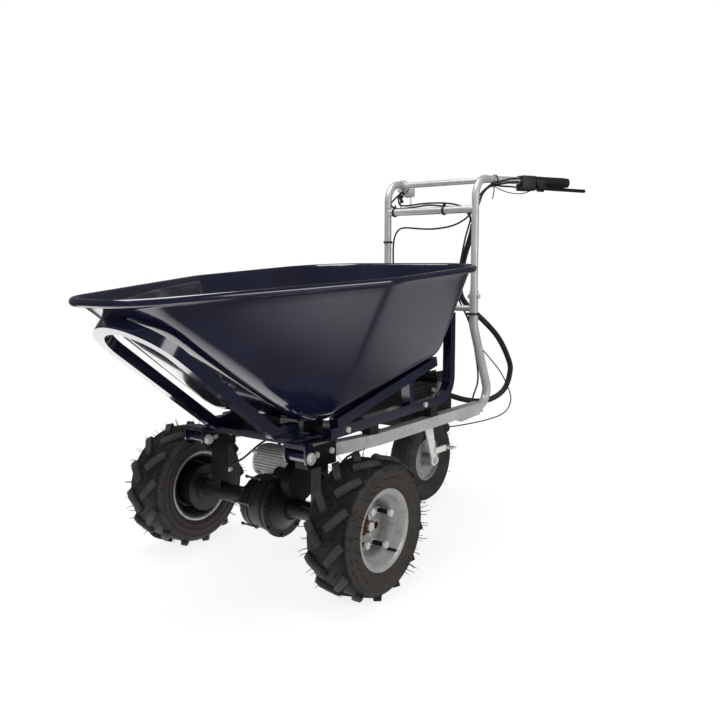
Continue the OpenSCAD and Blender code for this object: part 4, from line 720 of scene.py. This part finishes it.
def makeCasterHairs():
    corners = [nodes["caster_tyre"].matrix_world @ Vector(c) for c in nodes["caster_tyre"].bound_box]
    low, high = (Vector([pickOne(c[i] for c in corners) for i in range(3)]) for pickOne in (min, max))
    middle, half, radius = (low + high) / 2, (high.x - low.x) / 2, (high.z - low.z) / 2
    dice = random.Random(11)
    places = []
    for across, share, count, lean in casterHair:
        for k in range(count):
            turn = 360 / count * (k + dice.uniform(-0.3, 0.3))
            if abs(turn % 360 - 180) < tyre["bare"]:
                continue
            spot = Matrix.Translation((across * half, 0, share * radius - 0.001))
            aim = Matrix.Rotation(math.radians(lean + dice.uniform(-9, 9)), 4, "Y")
            around = Matrix.Translation(middle) @ Matrix.Rotation(math.radians(turn), 4, "X")
            places.append(around @ spot @ aim @ Matrix.Scale(dice.uniform(0.5, 0.8), 4))
    keep(joinCopies(makeHair(), places), "casterHairs", "caster_wheel", blackRubber)


makeCasterHairs()

# pressed rims: rolled lip, dished well, disc with round holes
rimShape = {"holes": 8, "ring": 48, "first": 75, "steps": 96}


def makeRim():
    face = [(47.5, 91), (49.4, 91.4), (50.8, 90.4), (51.2, 88), (50.4, 84.6), (48.4, 80.6), (45, 77.4),
            (40, 75), (34, 73), (28, 67.6), (22, 62.4), (17, 60.8), (4, 60.6), (-4, 60), (-6.4, 58), (-7, 55),
            (-7.4, 40), (-5.6, 33), (-5.2, 26), (-5.6, 22.6)]
    back = [(-10.6, 22.6), (-10.4, 55), (-12, 60.4), (-17, 60.8), (-22, 62.4), (-34, 73), (-45, 77.4),
            (-50.4, 84.6), (-51.2, 88), (-50.8, 90.4), (-49.4, 91.4), (-47.5, 91), (-46, 78), (-33, 76.2),
            (-20, 64.6), (20, 64.6), (33, 76.2), (46, 78)]
    rim = turned(face + back + face[:1], rimShape["steps"], 34)
    clearPick()
    bpy.ops.mesh.primitive_cylinder_add(vertices=32, radius=rimShape["holes"] * mm, depth=0.03,
                                        rotation=(0, math.pi / 2, 0))
    drill = bpy.context.object
    bpy.ops.object.transform_apply(location=True, rotation=True, scale=True)
    turns = [rimShape["first"] + 90 * k - 90 for k in range(4)]
    drill = joinCopies(drill, [spinTo(turn, rimShape["ring"], -8) for turn in turns])
    cut = rim.modifiers.new("cut", "BOOLEAN")
    cut.operation = "DIFFERENCE"
    cut.object = drill
    applyAll(rim)
    bpy.data.objects.remove(drill)
    pick(rim)
    bpy.ops.object.shade_smooth_by_angle(angle=math.radians(34))
    return rim


bothWheels(makeRim(), "rim", rimGrey, "rim_")
print("rims done")


# motor: finned drum with an end plate and four lugs
motor = {"at": (0, 60, 240), "x": (-76, 73), "core": 34.5, "tip": 43.5, "fins": 36, "ears": (-40, 50, -130),
         "axle": (-60, -82), "idler": (-49.8, -14.8)}
# a fin stops where it would meet the gear case: bare this near the axle, short near the idler or the axle
finEnds = {"bare": 67, "idler": 24, "near": 78, "ends": (18, 36, 55)}


def makeFins():
    axle, idler = Vector(motor["axle"]), Vector(motor["idler"])
    short, middle, full = finEnds["ends"]
    ends = {full: [], middle: [], short: []}
    for k in range(motor["fins"]):
        turn = 360 / motor["fins"] * k
        tip = Vector((math.cos(math.radians(turn)), math.sin(math.radians(turn)))) * motor["tip"]
        near, toIdler = (tip - axle).length, (tip - idler).length
        if near < finEnds["bare"]:
            continue
        end = short if toIdler < finEnds["idler"] else middle if near < finEnds["near"] else full
        ends[end].append(Matrix.Rotation(math.radians(turn - 90), 4, "X"))
    rows = []
    for end, places in ends.items():
        if places:
            fin = rounded((-66, -1.5, motor["core"] - 2), (end, 1.5, motor["tip"]), 0.6, 1)
            rows.append(joinCopies(fin, places))
    return rows


def makeMotor():
    low, high = motor["x"]
    core = motor["core"]
    drum = turned([(low, 0), (low, 30), (low + 1.5, 32), (low + 1.5, 40), (low + 2.5, 41), (low + 9, 41),
                   (low + 9.5, core), (high - 12, core), (high - 11.5, 39), (high - 1, 39), (high, 37.5),
                   (high, 0)], 72)
    ear = turned([(low + 1, 0), (low + 1, 3.2), (low - 1.6, 3.4), (low - 1.6, 5.2), (low + 1.4, 5.6),
                  (low + 1.4, 6.6), (low + 14, 6.6), (low + 15, 5), (low + 15, 0)], 18)
    ears = joinCopies(ear, [Matrix.Rotation(math.radians(a), 4, "X") @ Matrix.Translation((0, 0, 40.5 * mm))
                            for a in motor["ears"]])
    case = joinAll([drum, ears] + makeFins())
    case.matrix_world = Matrix.Translation(Vector(motor["at"]) * mm + Vector((0, axleY, 0)))
    keep(case, "motorCase", "chassis", castAlloy)
    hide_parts("motor_housing")


makeMotor()

# differential: clamp band, cast rings, ribs, through bolts
casting = {"ribs": 10, "ribTurn": 12, "bolts": 6, "boltTurn": 22, "boltRing": 65.5}


def makeCastings():
    band = turned([(-36, 50), (-36, 61), (-35, 62.4), (-27, 63.4), (-26, 62.4), (-26, 61.2), (-23, 61.4),
                   (-23, 63), (-22, 64.2), (-14, 65), (-13, 64), (-13, 50), (-36, 50)], 72, 30)
    ring = turned([(20, 60), (20, 65.6), (21, 66.6), (29, 66.6), (30, 65.6), (30, 60), (20, 60)], 72, 30)
    neck = turned([(-70, 26), (-70, 33), (-68.5, 34.4), (-64, 34.4), (-62.5, 33), (-62.5, 26), (-70, 26)],
                  48, 30)
    rib = rounded((-60, -2.4, 40), (-34, 2.4, 60.5), 1.2, 2)
    pickCorners(rib, lambda at: at.x < -45 and at.z > 45)
    bpy.ops.transform.translate(value=Vector((0, 0, -15)) * mm)
    bpy.ops.object.mode_set(mode="OBJECT")
    ribs = joinCopies(rib, [spinTo(360 / casting["ribs"] * k + casting["ribTurn"])
                            for k in range(casting["ribs"])])
    bolt = turned([(-52, 0), (-52, 3.4), (-51, 4), (-46.5, 4), (-46.5, 2.6), (-6, 2.6), (-6, 4.6), (-1, 4.6),
                   (0, 3.8), (0, 0)], 12, 30)
    bolts = joinCopies(bolt, [spinTo(360 / casting["bolts"] * k + casting["boltTurn"], casting["boltRing"])
                              for k in range(casting["bolts"])])
    made = ((joinAll([band, ring, neck, ribs]), "diffRibs", castIron, "cast_iron"),
            (bolts, "diffBolts", dirtySteel, "zinc"))
    for piece, name, finish, slotName in made:
        piece.matrix_world = Matrix.Translation((0, axleY, axleZ))
        keep(piece, name, "chassis", finish)


makeCastings()
print("motor and differential done")


# split pins through the castle nuts, tyre valves
smallParts = {"pin": (1.5, 8), "valve": (215, 69, 26)}


def makeWheelParts():
    radius, x = smallParts["pin"]
    pin = wired([(x, -1, -20), (x, -1, 20), (x, -3.5, 25), (x, 0, 28), (x, 3.5, 25), (x, 1, 20), (x, 1, -20),
                 (x + 2, 4, -25)], radius, 2, 4)
    bothWheels(pin, "splitPin", zincPlate)
    turn, ring, x = smallParts["valve"]
    valve = turned([(0, 0), (0, 5.5), (3, 5), (5, 3.4), (16, 3.2), (16, 2.5), (18, 2.5), (18, 3.6), (25, 3.4),
                    (26, 2.6), (26, 0)], 16)
    bothWheels(joinCopies(valve, [spinTo(turn, ring, x)]), "valve", blackRubber)


makeWheelParts()

# ribs on the grips: middle of the inner end, direction, grip radius, rib pitch
grip = {"start": (253.5, 665.6, 984.5), "turn": 30, "length": 91, "radius": 15.5, "pitch": 4.2}


def makeGripRibs():
    r = grip["radius"]
    rib = turned([(-1.2, r - 2), (-1.2, r), (-0.6, r + 0.25), (0.6, r + 0.25), (1.2, r), (1.2, r - 2),
                  (-1.2, r - 2)], 32, 50)
    steps = int((grip["length"] - 14) / grip["pitch"])
    ribs = joinCopies(rib, [Matrix.Translation(((8 + grip["pitch"] * k) * mm, 0, 0)) for k in range(steps)])
    for side, body in ((1, "chassis"), (-1, "throttle")):
        copy = ribs.copy()
        copy.data = ribs.data.copy()
        scene.collection.objects.link(copy)
        x, y, z = grip["start"]
        aim = 90 - side * grip["turn"]
        copy.matrix_world = (Matrix.Translation(Vector((side * x, y, z)) * mm)
                             @ Matrix.Rotation(math.radians(aim), 4, "Z"))
        keep(copy, "gripRibs" + ("Right" if side > 0 else "Left"), body, blackRubber)
    bpy.data.objects.remove(ribs)


makeGripRibs()

# cable ties: band, head and tail; place, turn about z and y, band radius, tail length
ties = [((-156, 417.5, 800), 90, 90, 13.6, 6), ((156, 417.5, 584), 200, 90, 15.6, 5),
        ((-130, 417.5, 892), 0, 0, 13.6, 5), ((50, 417.5, 892), 0, 0, 13.6, 5)]


def makeTies():
    pieces = []
    for place, turn, tilt, radius, tail in ties:
        band = turned([(-3, radius - 1.6), (-3, radius + 0.4), (-2.4, radius + 1), (2.4, radius + 1),
                       (3, radius + 0.4), (3, radius - 1.6), (-3, radius - 1.6)], 32, 40)
        head = rounded((-4, -4, radius - 0.5), (4, 3.5, radius + 5), 1, 2)
        end = rounded((-2.4, 2, radius + 1), (2.4, 3.4, radius + 5 + tail), 0.4, 1)
        tie = joinAll([band, head, end])
        aim = Matrix.Rotation(math.radians(turn), 4, "Z") @ Matrix.Rotation(math.radians(tilt), 4, "Y")
        tie.matrix_world = Matrix.Translation(Vector(place) * mm) @ aim
        pieces.append(tie)
    tails = [((170, 506, 961), (171, 503, 940), (168, 500, 926)),
             ((-166, 506, 961), (-168, 500, 936), (-160, 497, 912))]
    for tail in tails:
        pieces.append(wired(tail, 1.6, 2, 4))
    for piece in pieces:
        pick(piece)
        bpy.ops.object.transform_apply(location=True, rotation=True, scale=True)
    keep(joinAll(pieces), "tieHeads", "chassis", blackPlastic)


makeTies()

# ring on the key
keyRing = {"at": (-205.5, 623, 925.5), "radius": 10, "wire": 0.9}


def makeKeyRing():
    r, w = keyRing["radius"], keyRing["wire"]
    k = w * 0.7
    ring = turned([(-w, r), (-k, r + k), (0, r + w), (k, r + k), (w, r), (k, r - k), (0, r - w), (-k, r - k),
                   (-w, r)], 32, 60)
    ring.matrix_world = (Matrix.Translation(Vector(keyRing["at"]) * mm)
                         @ Matrix.Rotation(math.radians(60), 4, "Z"))
    keep(ring, "keyRing", "key_body", zincPlate)


makeKeyRing()
print("small parts done")


# camera at the photograph's place
view = {"place": (1.28065, -1.33623 + axleY, 0.72131), "turn": 36.3783, "down": 6.1758, "roll": 0.1123,
        "lens": 781.711 / 720 * 36, "shift": ((360 - 368.269) / 720, (351.788 - 360) / 720)}


def makeCamera():
    turn, down, roll = (math.radians(view[k]) for k in ("turn", "down", "roll"))
    ahead = Vector((-math.sin(turn) * math.cos(down), math.cos(turn) * math.cos(down), -math.sin(down)))
    flat = Vector((math.cos(turn), math.sin(turn), 0))
    lift = flat.cross(ahead)
    right = math.cos(roll) * flat + math.sin(roll) * lift
    up = -math.sin(roll) * flat + math.cos(roll) * lift
    data = bpy.data.cameras.new("photoView")
    data.sensor_width = 36
    data.lens = view["lens"]
    data.shift_x, data.shift_y = view["shift"]
    data.clip_end = 60
    camera = bpy.data.objects.new("photoView", data)
    scene.collection.objects.link(camera)
    facing = Matrix((right, up, -ahead)).transposed().to_4x4()
    camera.matrix_world = Matrix.Translation(Vector(view["place"])) @ facing
    scene.camera = camera


# white floor and backdrop for the eye; a dim room round it for the reflections
room = {"sky": 0.32, "mirror": 0.1, "floor": (0.86, 0.86, 0.86), "share": 0.74, "dim": 0.03,
        "edge": (0.9, 2.6), "lift": 0.5, "gloss": 0.9}
# bright patches of floor for the reflections only: middle, inner and outer radius, strength
patches = [((-0.5, -0.5, 0), 0.6, 1.1, 2.0), ((1.4, -0.1, 0), 0.1, 0.68, 0.8),
           ((0.6, 1.4, 0), 0.2, 1.0, 0.35)]


def rayKinds(tree):
    path = tree.node("ShaderNodeLightPath", out="Is Camera Ray")
    kinds = path.socket.node.outputs
    eye = path.calc("MAXIMUM", path, Wire(tree, kinds["Is Transmission Ray"]))
    return eye, Wire(tree, kinds["Is Glossy Ray"])


def makeRoom():
    world = bpy.data.worlds.new("whiteRoom")
    scene.world = world
    world.use_nodes = True
    tree = Tree(world.node_tree)
    eye, mirrored = rayKinds(tree)
    power = room["sky"] + eye * (1 - room["sky"]) + mirrored * (room["mirror"] - room["sky"])
    output = tree.tree.nodes.new("ShaderNodeOutputWorld")
    glow = tree.node("ShaderNodeBackground", {}, {"Color": (1, 1, 1), "Strength": power})
    tree.feed(output.inputs[0], glow)
    clearPick()
    bpy.ops.mesh.primitive_plane_add(size=30, location=(0, 0, 0))
    floor = bpy.context.object
    floor.name = "paleFloor"
    material = bpy.data.materials.new("paleFloor")
    material.use_nodes = True
    ground = Tree(material.node_tree)
    eye, mirrored = rayKinds(ground)
    reach = ground.node("ShaderNodeVectorMath", {"operation": "LENGTH"}, {0: ground.place()}, out="Value")
    fade = room["dim"]
    for middle, near, far, strength in patches:
        apart = ground.node("ShaderNodeVectorMath", {"operation": "DISTANCE"}, {0: ground.place(), 1: middle},
                            out="Value")
        glow = ground.node("ShaderNodeMapRange", {"interpolation_type": "SMOOTHSTEP"}, {
            "Value": apart, "From Min": near, "From Max": far, "To Min": strength, "To Max": 0.0})
        fade = apart.calc("MAXIMUM", fade, glow)
    plain = ground.node("ShaderNodeBsdfDiffuse", {}, {"Color": room["floor"]})
    away = ground.node("ShaderNodeMapRange", {"interpolation_type": "SMOOTHSTEP"}, {
        "Value": reach, "From Min": room["edge"][0], "From Max": room["edge"][1], "To Min": room["share"],
        "To Max": 1.0})
    shine = ground.node("ShaderNodeEmission", {}, {
        "Color": (1, 1, 1), "Strength": eye + eye * (1 - away) * room["lift"] + mirrored * fade})
    both = ground.node("ShaderNodeMixShader", {}, {
        0: eye * away + mirrored * room["gloss"], 1: plain, 2: shine})
    output = material.node_tree.nodes.new("ShaderNodeOutputMaterial")
    ground.feed(output.inputs[0], both)
    floor.data.materials.append(material)


# lamps: place, aim, size, power
lamps = {
    "over": ((-0.4, -0.5, 3.0), (0, 0, 0.3), 1.8, 58),
    "front": ((1.2, -3.4, 2.6), (0, -0.1, 0.5), 1.6, 62),
    "right": ((3.0, 0.0, 1.3), (0, 0.1, 0.3), 1.4, 20),
    "low": ((1.3, 0.35, 0.3), (0, 0.36, 0.22), 0.6, 4),
}


def makeLamps():
    for name, (place, aim, size, power) in lamps.items():
        data = bpy.data.lights.new(name, "AREA")
        data.shape = "SQUARE"
        data.size = size
        data.energy = power
        lamp = bpy.data.objects.new(name, data)
        scene.collection.objects.link(lamp)
        lamp.location = place
        lamp.visible_glossy = name in ("over", "right")  # no square highlights from the others
        lamp.rotation_euler = (Vector(aim) - Vector(place)).to_track_quat("-Z", "Y").to_euler()


makeCamera()
makeRoom()
makeLamps()
print("camera, room and lamps set")
